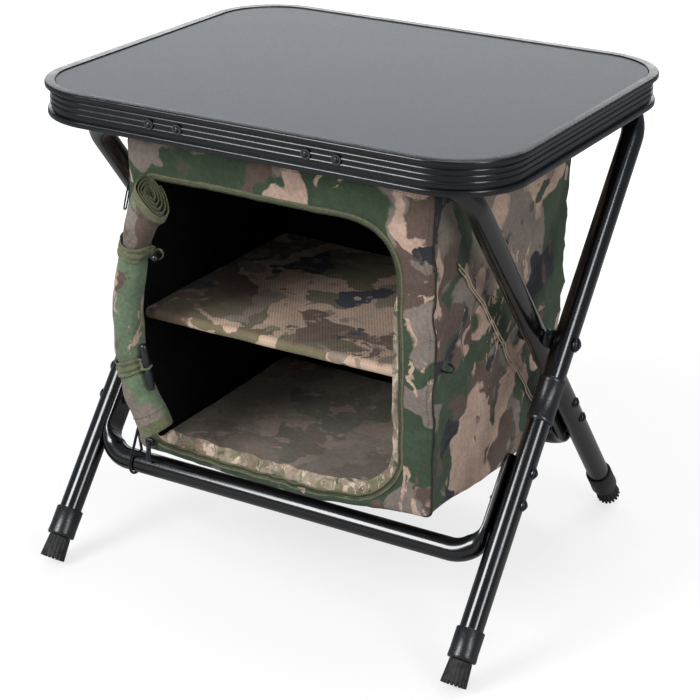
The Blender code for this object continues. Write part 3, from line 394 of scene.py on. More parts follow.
def new_finish(name, base, roughness, metallic=0.0, **direct):
    """A material with its shader's constant values set, its tree, shader and texture place."""
    made = bpy.data.materials.new(name)
    made.use_nodes = True
    made.diffuse_color = (*base, 1)
    tree = made.node_tree
    shader = tree.nodes["Principled BSDF"]
    values = {"Base Color": (*base, 1), "Roughness": roughness, "Metallic": metallic, **direct}
    for key, value in values.items():
        shader.inputs[key].default_value = value
    return made, tree, shader, object_place(tree)


def object_place(tree):
    return add(tree, "ShaderNodeTexCoord").outputs["Object"]


def maths(tree, operation, first, second=0.0, third=0.0):
    made = add(tree, "ShaderNodeMath", {0: first, 1: second, 2: third}, operation=operation)
    return made.outputs[0]


def mixed(tree, factor, first, second, blend="MIX"):
    """One colour over another; blend is the way they are mixed."""
    inputs = {0: factor, 6: first, 7: second}
    return add(tree, "ShaderNodeMix", inputs, data_type="RGBA", blend_type=blend).outputs[2]


def ramp(tree, value, start, end, low=0.0, high=1.0, **settings):
    """Goes from low to high while a value goes from start to end."""
    inputs = {"Value": value, 1: start, 2: end, 3: low, 4: high}
    return add(tree, "ShaderNodeMapRange", inputs, **settings).outputs[0]


def cloud(tree, place, scale, detail, roughness=0.5, distortion=0.0):
    """The outputs of a noise texture."""
    inputs = {"Vector": place, "Scale": scale, "Detail": detail, "Roughness": roughness, "Distortion": distortion}
    return add(tree, "ShaderNodeTexNoise", inputs).outputs


def speckle(tree, place, scale, low, high, detail=3.0, roughness=0.55):
    """Noise spread over a range of values."""
    return ramp(tree, cloud(tree, place, scale, detail, roughness)["Fac"], 0.3, 0.7, low, high)


def dye(tree, shader, shade, tone):
    """Gives the shader a colour, multiplied by a tone."""
    tree.links.new(mixed(tree, 1.0, shade, tone, "MULTIPLY"), shader.inputs["Base Color"])


def give_bump(tree, shader, height, distance, strength, under=None):
    inputs = {"Height": height, "Distance": distance, "Strength": strength}
    if under:
        inputs["Normal"] = under
    made = add(tree, "ShaderNodeBump", inputs)
    tree.links.new(made.outputs["Normal"], shader.inputs["Normal"])


def laminate(name):
    """Melamine laminate, pressed with a fine stone texture: grey, satin, with faint mottling."""
    base = tuple(colours().laminate)
    made, tree, shader, place = new_finish(name, base, 0.38, **{"IOR": 1.52, "Specular IOR Level": 0.55})
    mottle = speckle(tree, place, 9, 0.99, 1.01)
    fleck = speckle(tree, place, 900, 0.95, 1.05, 2.0)
    tone = maths(tree, "MULTIPLY", mottle, fleck)
    dye(tree, shader, (*base, 1), tone)
    tree.links.new(speckle(tree, place, 300, 0.37, 0.41), shader.inputs["Roughness"])
    # The pressed texture is about 0.5 mm across, drawn at 1 mm so that it shows
    give_bump(tree, shader, speckle(tree, place, 1000, 0, 1, 2.0), 0.00006, 0.35)
    return made


def painted_metal(name, base, roughness, grain, **direct):
    """Metal under paint or anodising: a smooth coat with a faint orange peel and a few dull spots."""
    made, tree, shader, place = new_finish(name, base, roughness, **direct)
    tone = speckle(tree, place, 35, 0.85, 1.2)
    dye(tree, shader, (*base, 1), tone)
    tree.links.new(speckle(tree, place, 60, roughness * 0.85, roughness * 1.25), shader.inputs["Roughness"])
    give_bump(tree, shader, speckle(tree, place, grain, 0, 1, 2.0), 0.00002, 0.5)
    return made


def edging_metal(name):
    """Extruded aluminium, anodised black: satin, with soft streaks of light along its ribs."""
    direct = {"Specular IOR Level": 0.55, "Coat Weight": 0.1, "Coat Roughness": 0.25}
    return painted_metal(name, tuple(colours().edging), 0.24, 700, **direct)


def tube_paint(name):
    """Steel tube, powder coated gloss black: sharp highlights over a faint orange peel."""
    direct = {"IOR": 1.5, "Coat Weight": 0.5, "Coat Roughness": 0.12, "Specular IOR Level": 0.6}
    return painted_metal(name, tuple(colours().tube), 0.18, 420, **direct)


def dark_steel(name):
    """Steel fasteners, zinc plated and blackened: a dull metallic sheen with worn high spots."""
    made, tree, shader, place = new_finish(name, tint("#4a4c50"), 0.36, 1.0)
    worn = add(tree, "ShaderNodeNewGeometry").outputs["Pointiness"]
    edge = ramp(tree, worn, 0.5, 0.6)
    base = mixed(tree, edge, (*tint("#24262a"), 1), (*tint("#606267"), 1))
    tree.links.new(base, shader.inputs["Base Color"])
    tree.links.new(speckle(tree, place, 400, 0.28, 0.48), shader.inputs["Roughness"])
    give_bump(tree, shader, speckle(tree, place, 1500, 0, 1, 2.0), 0.00003, 0.5)
    return made


def moulded_nylon(name):
    """Nylon, moulded in a spark eroded tool: dark grey black, a fine even grain, soft highlights."""
    base = tuple(colours().plastic)
    made, tree, shader, place = new_finish(name, base, 0.36, **{"IOR": 1.53, "Specular IOR Level": 0.6})
    tone = speckle(tree, place, 80, 0.88, 1.15)
    dye(tree, shader, (*base, 1), tone)
    tree.links.new(speckle(tree, place, 250, 0.24, 0.35), shader.inputs["Roughness"])
    give_bump(tree, shader, speckle(tree, place, 1300, 0, 1, 2.0), 0.00008, 0.45)
    return made


def moulded_rubber(name):
    """Rubber, moulded and a little dusty: matt, with paler high spots."""
    base = tuple(colours().rubber)
    made, tree, shader, place = new_finish(name, base, 0.72, **{"IOR": 1.5, "Specular IOR Level": 0.35})
    dust = speckle(tree, place, 160, 0.0, 0.22)
    tree.links.new(mixed(tree, dust, (*base, 1), (*tint("#6e6b66"), 1)), shader.inputs["Base Color"])
    give_bump(tree, shader, speckle(tree, place, 900, 0, 1), 0.0002, 0.6)
    return made


def stepped(tree, place, scale, offset, cut, stretch=(1, 1, 1), soft=0.006, detail=1.0):
    """A mask with crisp edges, 1 where noise on a shifted and stretched place is over the cut."""
    mapping = {"Vector": place, "Location": offset, "Scale": stretch}
    moved = add(tree, "ShaderNodeMapping", mapping).outputs[0]
    return ramp(tree, cloud(tree, moved, scale, detail)["Fac"], cut - soft, cut + soft)


def camouflage(tree, place, size, shades, shift, rare=0.0):
    """Generic woodland blotches, as wide as the size: each colour is a mask of noise with ragged edges."""
    khaki, tan, green, brown, navy = [(*shade, 1) for shade in shades]
    scale = 1 / size
    start = place
    for cells, detail, reach in ((1.6, 1.0, 0.75), (6, 3.0, 0.2)):
        drift = cloud(tree, start, scale * cells, detail)["Color"]
        centred = add(tree, "ShaderNodeVectorMath", {0: drift, 1: (0.5, 0.5, 0.5)}, operation="SUBTRACT")
        scaled = add(tree, "ShaderNodeVectorMath", {0: centred.outputs[0], "Scale": size * reach}, operation="SCALE")
        place = add(tree, "ShaderNodeVectorMath", {0: place, 1: scaled.outputs[0]}, operation="ADD").outputs[0]
    spots = (
        (green, 0.62, (3.1 + shift, 0.2, 0.4), 0.545, (1.0, 1.0, 0.8)),
        (brown, 0.72, (0.7, 5.3 + shift, 0.1), 0.575, (1.1, 1.0, 0.7)),
        (tan, 0.80, (1.9, 0.6, 7.7 + shift), 0.597, (1.15, 1.0, 0.62)),
        (green, 1.25, (8.2 + shift, 1.1, 3.3), 0.640, (0.7, 0.8, 1.1)),
        (navy, 1.05, (4.4, 2.8 + shift, 1.6), 0.632, (0.8, 0.8, 1.25)),
        (tan, 1.70, (6.1 + shift, 4.2, 2.2), 0.665, (1.5, 1.2, 0.55)),
    )
    shade = khaki
    for spot, share, offset, cut, stretch in spots:
        shade = mixed(tree, stepped(tree, place, scale * share, offset, cut + rare, stretch), shade, spot)
    # Thin tan and brown drips in a few patches, as at the ends of a brush stroke
    for spot, offset in ((tan, (2.7, 9.1 + shift, 0.3)), (brown, (7.3 + shift, 3.9, 5.1))):
        drips = stepped(tree, place, scale * 3.4, offset, 0.59, (1.5, 1.5, 0.3), 0.01, 2.0)
        patch = stepped(tree, place, scale * 0.9, (offset[2], offset[0], offset[1]), 0.62 - 0.03, soft=0.02)
        shade = mixed(tree, maths(tree, "MULTIPLY", drips, patch), shade, spot)
    # The dye lies unevenly: soft darker clouds within each blotch
    return mixed(tree, 1.0, shade, speckle(tree, start, scale * 2.3, 0.84, 1.12, 5.0, 0.65), "MULTIPLY")


def printed(size, shades, shift=0.0, rare=0.0):
    """The camouflage as a pattern for cloth_finish."""
    return lambda tree, place: camouflage(tree, place, size, shades, shift, rare)


def camouflage_shades():
    own = colours()
    return [tuple(shade) for shade in (own.khaki, own.tan, own.green, own.brown, own.navy)]


def threads(tree, place, spacing):
    """Height of a twill weave: two sets of threads that cross on upright and level faces alike."""
    x, y, z = add(tree, "ShaderNodeSeparateXYZ", {0: place}).outputs
    turn = 2 * math.pi / spacing
    first = maths(tree, "ADD", x, y)
    second = maths(tree, "ADD", maths(tree, "SUBTRACT", x, y), z)
    waves = [maths(tree, "SINE", maths(tree, "MULTIPLY", value, turn)) for value in (first, second)]
    return maths(tree, "MULTIPLY", *waves)


def cloth_finish(name, pattern, spacing, depth, crease):
    """Dyed cloth: the pattern with threads, slubs and slight fading, and a soft sheen at its edges."""
    direct = {"Sheen Weight": 0.12, "Sheen Roughness": 0.45, "Specular IOR Level": 0.22, "IOR": 1.5}
    made, tree, shader, place = new_finish(name, tint("#5c5646"), 0.86, **direct)
    shade = pattern(tree, place)
    weave = threads(tree, place, spacing)
    slub = speckle(tree, place, 260, 0.84, 1.16)
    tone = maths(tree, "MULTIPLY", slub, maths(tree, "MULTIPLY_ADD", weave, 0.07, 1.0))
    dye(tree, shader, shade, maths(tree, "MULTIPLY", tone, speckle(tree, place, 22, 0.88, 1.12)))
    folds = cloud(tree, place, 55.0, 4.0, 0.6, 0.6)["Fac"]
    under = add(tree, "ShaderNodeBump", {"Height": folds, "Distance": crease, "Strength": 0.7})
    give_bump(tree, shader, maths(tree, "MULTIPLY", weave, 0.5), depth, 0.6, under.outputs["Normal"])
    return made


def camouflage_cloth(name):
    """Polyester twill printed with camouflage: matt, slightly creased. Threads of 0.5 mm are drawn wider."""
    own = sizes()
    return cloth_finish(name, printed(own.blotch, camouflage_shades()), own.thread, 0.00022, 0.0035)


def green_cloth(name):
    """The same print where it is mostly green, as on the front panel and the door."""
    khaki, tan, green, brown, navy = camouflage_shades()
    own = sizes()
    pattern = printed(own.blotch, (green, tan, khaki, brown, navy), 6.5, 0.048)
    return cloth_finish(name, pattern, own.thread, 0.00022, 0.0035)


def door_cloth(name):
    """The door's outer face: the green print again, made paler as painted light that stands in for the light the
    rolled door catches.
    """
    khaki, tan, _, brown, navy = camouflage_shades()
    own = sizes()
    # The paler green is painted light on the rolled door, not a colour of its own
    pattern = printed(own.blotch, (tint("#65765f"), tan, khaki, brown, navy), 6.5, 0.050)
    return cloth_finish(name, pattern, own.thread, 0.00022, 0.0045)


def hem_cloth(name):
    """The pale strip inside the opening: the same print, faded and small in scale."""
    shades = [tint(code) for code in ("#968a7b", "#c3af9d", "#77765c", "#8a786a", "#5a5b4e")]
    return cloth_finish(name, printed(0.013, shades, 2.0), 0.0011, 0.00022, 0.002)


def floor_cloth(name):
    """The base board's cover: the print with much more grey khaki, dull under the shelf's shade."""
    shades = [tint(code) for code in ("#8d8379", "#b7a090", "#4a5843", "#66544b", "#3a3c40")]

    def pattern(tree, place):
        spread = camouflage(tree, place, 0.066, shades, 5.0)
        return mixed(tree, 0.58, spread, (*shades[0], 1))

    return cloth_finish(name, pattern, sizes().thread, 0.0002, 0.001)


def mesh_cloth(name):
    """Knitted spacer mesh over foam: the print broken by rows of small holes, 3 mm apart, darkened with painted
    shade.
    """
    shades = [tint(code) for code in ("#bfa591", "#8d7f71", "#716852", "#6c584d", "#3a3d49")]
    direct = {"Sheen Weight": 0.1, "Sheen Roughness": 0.5, "Specular IOR Level": 0.2}
    made, tree, shader, place = new_finish(name, shades[0], 0.9, **direct)
    x, y, z = add(tree, "ShaderNodeSeparateXYZ", {0: place}).outputs
    depth = maths(tree, "SUBTRACT", y, z)
    pitch = 0.0031
    row = maths(tree, "DIVIDE", depth, pitch * 0.87)
    shift = maths(tree, "MULTIPLY", maths(tree, "PINGPONG", maths(tree, "FLOOR", row), 1.0), 0.5)
    column = maths(tree, "ADD", maths(tree, "DIVIDE", x, pitch), shift)
    across = maths(tree, "SUBTRACT", maths(tree, "FRACT", column), 0.5)
    over = maths(tree, "SUBTRACT", maths(tree, "FRACT", row), 0.5)
    squares = [maths(tree, "MULTIPLY", value, value) for value in (across, over)]
    away = maths(tree, "SQRT", maths(tree, "ADD", *squares))
    holes = ramp(tree, away, 0.16, 0.34)
    # The front edge is bound with smooth cloth
    edge = ramp(tree, y, -0.1296, -0.1276, 1.0, 0.0)
    yarn = maths(tree, "MAXIMUM", holes, maths(tree, "MULTIPLY", edge, 0.8))
    shade = camouflage(tree, place, 0.058, shades, 4.0)
    # Dark in the holes: painted shade where the mesh opens into its depth
    tone = maths(tree, "MULTIPLY_ADD", yarn, 0.70, 0.42)
    hole_shade_and_mottle = maths(tree, "MULTIPLY", tone, speckle(tree, place, 90, 0.88, 1.12))
    dye(tree, shader, shade, hole_shade_and_mottle)
    give_bump(tree, shader, yarn, 0.0006, 0.7)
    return made


def lining_cloth(name):
    """Coated black lining: nearly black, with a weak plastic shine."""
    base = tuple(colours().lining)
    made, tree, shader, place = new_finish(name, base, 0.75, **{"Specular IOR Level": 0.12})
    tone = speckle(tree, place, 60, 0.7, 1.3)
    dye(tree, shader, (*base, 1), tone)
    give_bump(tree, shader, threads(tree, place, 0.0012), 0.0001, 0.4)
    return made


def webbing(name, base, dusty):
    """Woven polyester tape: ribs across it, 1.3 mm apart, and a dry fibrous surface."""
    direct = {"Sheen Weight": 0.2, "Sheen Roughness": 0.4, "Specular IOR Level": 0.25}
    made, tree, shader, place = new_finish(name, base, 0.82, **direct)
    weave = threads(tree, place, 0.0013)
    slub = speckle(tree, place, 420, 0.75, 1.25)
    tone = maths(tree, "MULTIPLY", slub, maths(tree, "MULTIPLY_ADD", weave, 0.14, 1.0))
    worn = mixed(tree, speckle(tree, place, 120, 0.0, 0.25), (*base, 1), (*dusty, 1))
    dye(tree, shader, worn, tone)
    give_bump(tree, shader, weave, 0.0003, 0.6)
    return made


def olive_webbing(name):
    """Olive grosgrain tape, as on the zip, the ties and the roll's ends"""
    return webbing(name, tuple(colours().binding), tint("#8a8a6c"))


def black_webbing(name):
    """Black polyester webbing, slightly faded"""
    return webbing(name, tint("#15161a"), tint("#2f3136"))


def dark_binding(name):
    """Dark seam tape, almost black with an olive cast"""
    return webbing(name, tint("#2b2924"), tint("#474136"))


def zip_coil(name):
    """Nylon coil of the zip, olive: small glossy loops"""
    base = tint("#3d402a")
    made, tree, shader, place = new_finish(name, base, 0.38, **{"IOR": 1.53})
    tree.links.new(speckle(tree, place, 500, 0.3, 0.5), shader.inputs["Roughness"])
    tone = speckle(tree, place, 200, 0.8, 1.25)
    dye(tree, shader, (*base, 1), tone)
    return made


def braided_elastic(name):
    """Round elastic cord with a braided black cover: diagonal ridges, 1.3 mm apart"""
    return webbing(name, tint("#101013"), tint("#26272b"))


def thread_finish(name, base):
    """Polyester sewing thread, slightly glossy"""
    made, tree, shader, place = new_finish(name, base, 0.5, **{"Sheen Weight": 0.2})
    tone = speckle(tree, place, 700, 0.8, 1.2)
    dye(tree, shader, (*base, 1), tone)
    return made


def pale_thread(name):
    """Tan thread of the side pocket's double row"""
    return thread_finish(name, tint("#bda48f"))


def dark_thread(name):
    """Dark olive thread along the bindings"""
    return thread_finish(name, tint("#2b2b1f"))


LAMINATE = "melamine_laminate_grey_textured"
EDGING = "aluminium_extrusion_anodised_black"
TUBE_PAINT = "steel_tube_powder_coated_gloss_black"
STEEL = "zinc_plated_steel_blackened"
NYLON = "nylon_moulded_fine_grain_black"
RUBBER = "rubber_moulded_matt_black"
CLOTH = "polyester_twill_printed_camouflage"
GREEN_CLOTH = "polyester_twill_printed_green_camouflage"
HEM = "polyester_hem_printed_pale_camouflage"
BOARD_COVER = "polyester_board_cover_printed_camouflage"
MESH = "spacer_mesh_knitted_camouflage"
DOOR_CLOTH = "polyester_twill_printed_green_painted_lighter"
LINING = "polyester_lining_coated_black"
OLIVE = "polyester_grosgrain_woven_olive"
WEBBING = "polyester_webbing_woven_black"
SEAM = "seam_tape_woven_dark"
COIL = "nylon_zip_coil_olive"
ELASTIC = "elastic_cord_braided_black"
TAN_THREAD = "polyester_thread_tan"
DARK_THREAD = "polyester_thread_dark_olive"

FINISHES = {
    LAMINATE: laminate,
    EDGING: edging_metal,
    TUBE_PAINT: tube_paint,
    STEEL: dark_steel,
    NYLON: moulded_nylon,
    RUBBER: moulded_rubber,
    CLOTH: camouflage_cloth,
    GREEN_CLOTH: green_cloth,
    HEM: hem_cloth,
    BOARD_COVER: floor_cloth,
    MESH: mesh_cloth,
    DOOR_CLOTH: door_cloth,
    LINING: lining_cloth,
    OLIVE: olive_webbing,
    WEBBING: black_webbing,
    SEAM: dark_binding,
    COIL: zip_coil,
    ELASTIC: braided_elastic,
    TAN_THREAD: pale_thread,
    DARK_THREAD: dark_thread,
}


def finish(name):
    """The named material, made when it is first asked for"""
    return bpy.data.materials.get(name) or FINISHES[name](name)


# Geometry node trees


def new_tree(name, inputs):
    """A tree that takes a geometry and the named inputs, and gives a geometry back."""
    tree = bpy.data.node_groups.new(name, "GeometryNodeTree")
    tree.interface.new_socket("Geometry", in_out="INPUT", socket_type="NodeSocketGeometry")
    for label, kind, default in inputs:
        socket = tree.interface.new_socket(label, in_out="INPUT", socket_type=kind)
        if default is not None:
            socket.default_value = default
    tree.interface.new_socket("Geometry", in_out="OUTPUT", socket_type="NodeSocketGeometry")
    return tree, add(tree, "NodeGroupInput").outputs


def end_tree(tree, geometry, material):
    """Realises the instances, gives them the material and ends the tree."""
    real = add(tree, "GeometryNodeRealizeInstances", {"Geometry": geometry}).outputs[0]
    smooth = add(tree, "GeometryNodeSetShadeSmooth", {"Geometry": real}).outputs[0]
    coated = add(tree, "GeometryNodeSetMaterial", {"Geometry": smooth, "Material": material}).outputs[0]
    add(tree, "NodeGroupOutput", {0: coated})
    return tree


def with_tree(name, tree, mesh, values, matrix=None):
    """The tree's result on a mesh as a plain mesh object, with its named inputs set first."""
    carrier = add_object(name + "_guide", mesh)
    if matrix:
        carrier.matrix_world = matrix
    step = carrier.modifiers.new(tree.name, "NODES")
    step.node_group = tree
    for item in tree.interface.items_tree:
        if item.item_type == "SOCKET" and item.in_out == "INPUT" and item.name in values:
            step[item.identifier] = values[item.name]
    plain = solid(carrier, name)
    if not plain.data.polygons:
        raise RuntimeError(f"{name} came out empty")
    return plain


def unit_shape(tree, kind, inputs, scale=(1, 1, 1), shift=(0, 0, 0)):
    """A primitive, scaled and shifted, for a tree to repeat."""
    shape = add(tree, kind, inputs).outputs["Mesh"]
    return add(tree, "GeometryNodeTransform", {"Geometry": shape, "Scale": scale, "Translation": shift}).outputs[0]


def combined(tree, x=0.0, y=0.0, z=0.0):
    return add(tree, "ShaderNodeCombineXYZ", {0: x, 1: y, 2: z}).outputs[0]


def fastener_tree():
    """Heads of bolts, nuts and rivets: a flange and a dome on each point, facing the way the point says."""
    found = bpy.data.node_groups.get("fastener_heads")
    if found:
        return found
    tree, given = new_tree("fastener_heads", (
        ("Head radius", "NodeSocketFloat", 0.004),
        ("Head height", "NodeSocketFloat", 0.002),
        ("Flange radius", "NodeSocketFloat", 0.005),
        ("Flange height", "NodeSocketFloat", 0.001),
        ("Flange sides", "NodeSocketInt", 28),
        ("Material", "NodeSocketMaterial", None),
    ))
    half = maths(tree, "MULTIPLY", given["Flange height"], 0.5)
    flange = unit_shape(
        tree, "GeometryNodeMeshCylinder",
        {"Vertices": given["Flange sides"], "Radius": given["Flange radius"], "Depth": given["Flange height"]},
        shift=combined(tree, z=half),
    )
    size = combined(tree, given["Head radius"], given["Head radius"], given["Head height"])
    lift = combined(tree, z=given["Flange height"])
    dome = unit_shape(tree, "GeometryNodeMeshUVSphere", {"Segments": 24, "Rings": 12, "Radius": 1.0}, size, lift)
    dimple_size = maths(tree, "MULTIPLY", given["Head radius"], 0.42)
    top = maths(tree, "ADD", given["Flange height"], given["Head height"])
    dimple = unit_shape(
        tree, "GeometryNodeMeshCylinder", {"Vertices": 6, "Radius": dimple_size, "Depth": 0.0004},
        shift=combined(tree, z=top),
    )
    head = add(tree, "GeometryNodeJoinGeometry")
    for part in (dimple, dome, flange):
        tree.links.new(part, head.inputs[0])
    facing = add(tree, "GeometryNodeInputNamedAttribute", {"Name": "facing"}, data_type="FLOAT_VECTOR")
    turn = add(tree, "FunctionNodeAlignRotationToVector", {"Vector": facing.outputs[0]}, axis="Z")
    placed_heads = add(tree, "GeometryNodeInstanceOnPoints", {
        "Points": given["Geometry"], "Instance": head.outputs[0], "Rotation": turn.outputs[0],
    })
    return end_tree(tree, placed_heads.outputs[0], given["Material"])


def fasteners(name, places, material, radius, height, flange, flange_height, flange_sides=28):
    """Heads on (point, direction) places, as one mesh."""
    mesh = bpy.data.meshes.new(name)
    mesh.from_pydata([tuple(point) for point, _ in places], [], [])
    facing = mesh.attributes.new("facing", "FLOAT_VECTOR", "POINT")
    facing.data.foreach_set("vector", [value for _, way in places for value in way])
    values = {
        "Head radius": radius, "Head height": height, "Flange radius": flange,
        "Flange height": flange_height, "Flange sides": flange_sides, "Material": finish(material),
    }
    piece = with_tree(name, fastener_tree(), mesh, values)
    piece.data.set_sharp_from_angle(angle=math.radians(35))
    return piece


def rib_tree():
    """Ribs round a foot: slender cones that lean with its taper, joined to its core."""
    found = bpy.data.node_groups.get("foot_ribs")
    if found:
        return found
    tree, given = new_tree("foot_ribs", (
        ("Rib count", "NodeSocketInt", 18),
        ("Rib radius", "NodeSocketFloat", 0.0013),
        ("Top radius", "NodeSocketFloat", 0.010),
        ("Bottom radius", "NodeSocketFloat", 0.0115),
        ("Height", "NodeSocketFloat", 0.022),
        ("Material", "NodeSocketMaterial", None),
    ))
    both = maths(tree, "ADD", given["Top radius"], given["Bottom radius"])
    middle = maths(tree, "MULTIPLY", both, 0.5)
    circle = add(tree, "GeometryNodeMeshCircle", {"Vertices": given["Rib count"], "Radius": middle}).outputs[0]
    half = maths(tree, "MULTIPLY", given["Height"], 0.5)
    raised = add(tree, "GeometryNodeTransform", {"Geometry": circle, "Translation": combined(tree, z=half)})
    x, y, _ = add(tree, "ShaderNodeSeparateXYZ", {0: add(tree, "GeometryNodeInputPosition").outputs[0]}).outputs
    narrowing = maths(tree, "SUBTRACT", given["Top radius"], given["Bottom radius"])
    taper = maths(tree, "DIVIDE", narrowing, middle)
    slant = combined(tree, maths(tree, "MULTIPLY", x, taper), maths(tree, "MULTIPLY", y, taper), given["Height"])
    turn = add(tree, "FunctionNodeAlignRotationToVector", {"Vector": slant}, axis="Z")
    thin = maths(tree, "MULTIPLY", given["Rib radius"], 0.7)
    rib = unit_shape(tree, "GeometryNodeMeshCone", {
        "Vertices": 8, "Radius Top": thin, "Radius Bottom": given["Rib radius"], "Depth": given["Height"],
    }, shift=combined(tree, z=maths(tree, "MULTIPLY", given["Height"], -0.5)))
    ribs = add(tree, "GeometryNodeInstanceOnPoints", {
        "Points": raised.outputs[0], "Instance": rib, "Rotation": turn.outputs[0],
    }).outputs[0]
    both_parts = add(tree, "GeometryNodeJoinGeometry")
    for part in (ribs, given["Geometry"]):
        tree.links.new(part, both_parts.inputs[0])
    return end_tree(tree, both_parts.outputs[0], given["Material"])


def line_tree():
    """Small rounded bars repeated along a line, such as stitches or zip teeth, lying along or across it."""
    found = bpy.data.node_groups.get("repeat_along_line")
    if found:
        return found
    tree, given = new_tree("repeat_along_line", (
        ("Spacing", "NodeSocketFloat", 0.003),
        ("Length", "NodeSocketFloat", 0.002),
        ("Width", "NodeSocketFloat", 0.0006),
        ("Unevenness", "NodeSocketFloat", 0.12),
        ("Seed", "NodeSocketInt", 7),
        ("Material", "NodeSocketMaterial", None),
    ))
    curve = add(tree, "GeometryNodeMeshToCurve", {"Mesh": given["Geometry"]}).outputs[0]
    inputs = {"Curve": curve, "Length": given["Spacing"]}
    even = add(tree, "GeometryNodeResampleCurve", inputs, mode="LENGTH").outputs[0]
    along = add(tree, "GeometryNodeInputTangent").outputs[0]
    turn = add(tree, "FunctionNodeAlignRotationToVector", {"Vector": along}, axis="X").outputs[0]
    half_length = maths(tree, "MULTIPLY", given["Length"], 0.5)
    half_width = maths(tree, "MULTIPLY", given["Width"], 0.5)
    size = combined(tree, half_length, half_width, half_width)
    bar = unit_shape(tree, "GeometryNodeMeshUVSphere", {"Segments": 6, "Rings": 5, "Radius": 1.0}, size)
    low = maths(tree, "SUBTRACT", 1.0, given["Unevenness"])
    high = maths(tree, "ADD", 1.0, given["Unevenness"])
    spread = add(tree, "FunctionNodeRandomValue", {2: low, 3: high, "Seed": given["Seed"]}, data_type="FLOAT")
    bars = add(tree, "GeometryNodeInstanceOnPoints", {
        "Points": even, "Instance": bar, "Rotation": turn, "Scale": spread.outputs[1],
    }).outputs[0]
    return end_tree(tree, bars, given["Material"])


def along_lines(name, lines, material, spacing, length, width, uneven=0.12, closed=False):
    """Rounded bars repeated along several lines of points, as one mesh."""
    points, edges = [], []
    for line in lines:
        start = len(points)
        points += [tuple(point) for point in line]
        edges += [(i, i + 1) for i in range(start, len(points) - 1)]
        if closed:
            edges.append((len(points) - 1, start))
    mesh = bpy.data.meshes.new(name)
    mesh.from_pydata(points, edges, [])
    values = {
        "Spacing": spacing, "Length": length, "Width": width, "Unevenness": uneven, "Seed": 7,
        "Material": finish(material),
    }
    return with_tree(name, line_tree(), mesh, values)


# Tabletop and leg frames

TOP_HEIGHT = 0.486
TOP_MIDDLE_Y = -0.009
RIVET_HEIGHT = 0.4705
CLIP_X, RIVET_REACH = 0.0793, 0.01475  # middle of a clip, and its rivets to each side of that
BOLT_DROPS = (0.12555, 0.15605)  # of the crossbars' bolts below the pivot


def tabletop_outline(inset):
    half_width, half_depth, radius = 0.240 - inset, 0.203 - inset, 0.0718 - inset
    flat = rounded_outline(-half_width, half_width, -half_depth, half_depth, [radius] * 4, 24)
    return [(x, y + TOP_MIDDLE_Y) for x, y in flat]


def edging_section():
    """Points (out, up) from the rim's top outer corner: a rounded lip, three ribs on the web and a bead."""
    web, inner = -0.0055, -0.0073
    points = [(-0.0095, -0.0004), (-0.0091, 0.0)]
    points += arc((-0.0016, -0.0016), 0.0016, math.pi / 2, 0, 5)
    points += arc((-0.0010, -0.0037), 0.0010, 0, -math.pi / 2, 3)
    points += [(-0.0045, -0.0048), (web, -0.0056)]
    for middle in (-0.0095, -0.0147, -0.0199):
        for i in range(7):
            turn = math.pi * i / 6
            points.append((web + 0.0012 * math.sin(turn) ** 0.8, middle + 0.0015 * math.cos(turn)))
    points += [(web, -0.0248)]
    bead = arc((-0.0034, -0.0268), 0.0014, math.pi / 2, 0, 3) + arc((-0.0034, -0.0296), 0.0014, 0, -math.pi / 2, 3)
    points += bead + [(inner, -0.0310), (inner, -0.0116), (-0.0145, -0.0116), (-0.0145, -0.0093), (-0.0095, -0.0093)]
    return points


def make_tabletop():
    path = [(x, y, TOP_HEIGHT) for x, y in tabletop_outline(0)]
    rim = skin(swept(path, edging_section(), True, (0, 0, 1)), wrap=True, join=True)
    settle_in(made_of("edging_profile", rim, EDGING, 30), "tabletop", ["edge_trim"])
    outline, crest = tabletop_outline(0.0098), tabletop_outline(0.0103)
    levels = ((outline, 0.4770), (outline, 0.4847), (crest, 0.4850))
    sheet = skin([[(x, y, z) for x, y in flat] for flat, z in levels], wrap=True, caps=True)
    settle_in(made_of("tabletop_panel", sheet, LAMINATE, 30), "tabletop", ["tabletop_board"])
    for kind in ("front_clip", "rear_hinge"):
        for _, word in SIDES:
            node = f"{kind}_{word}"
            clip = rounded_copy(node, f"{kind}_moulding_{word}", 0.0005, 2, NYLON, 30)
            settle_in(clip, "tabletop", [node])
    places, tails = [], []
    for side, _ in SIDES:
        for offset in (-1, 1):
            x = side * CLIP_X + offset * RIVET_REACH
            for face in (-1, 1):
                web = TOP_MIDDLE_Y + face * 0.1985
                places.append(((x, web, RIVET_HEIGHT), (0, face, 0)))
                tails.append(((x, web - face * 0.0042, RIVET_HEIGHT), (0, -face, 0)))
    nodes = [f"edge_rivet_{end}_{word}_{row}" for end in ("front", "rear") for _, word in SIDES for row in "ab"]
    heads = fasteners("edge_rivet_heads", places, STEEL, 0.0030, 0.0017, 0.0046, 0.0009)
    backs = fasteners("edge_rivet_tails", tails, STEEL, 0.0024, 0.0012, 0.0030, 0.0006)
    settle_in(heads, "tabletop", nodes)
    settle_in(backs, "tabletop", ())


def frame_tube(name, leg_x, down, up, matrix, body, node):
    """One bent tube: up a leg, round two bends of 45 mm radius, and down the other leg."""
    bend, foot = 0.045, -down + 0.0273
    right = arc((leg_x - bend, up - bend), bend, 0, math.pi / 2, 18)
    left = arc((bend - leg_x, up - bend), bend, math.pi / 2, math.pi, 18)
    line = [matrix @ Vector((x, 0, z)) for x, z in [(leg_x, foot), *right, *left, (-leg_x, foot)]]
    settle_in(made_of(name, rod(line, TUBE, 36), TUBE_PAINT), body, [node])


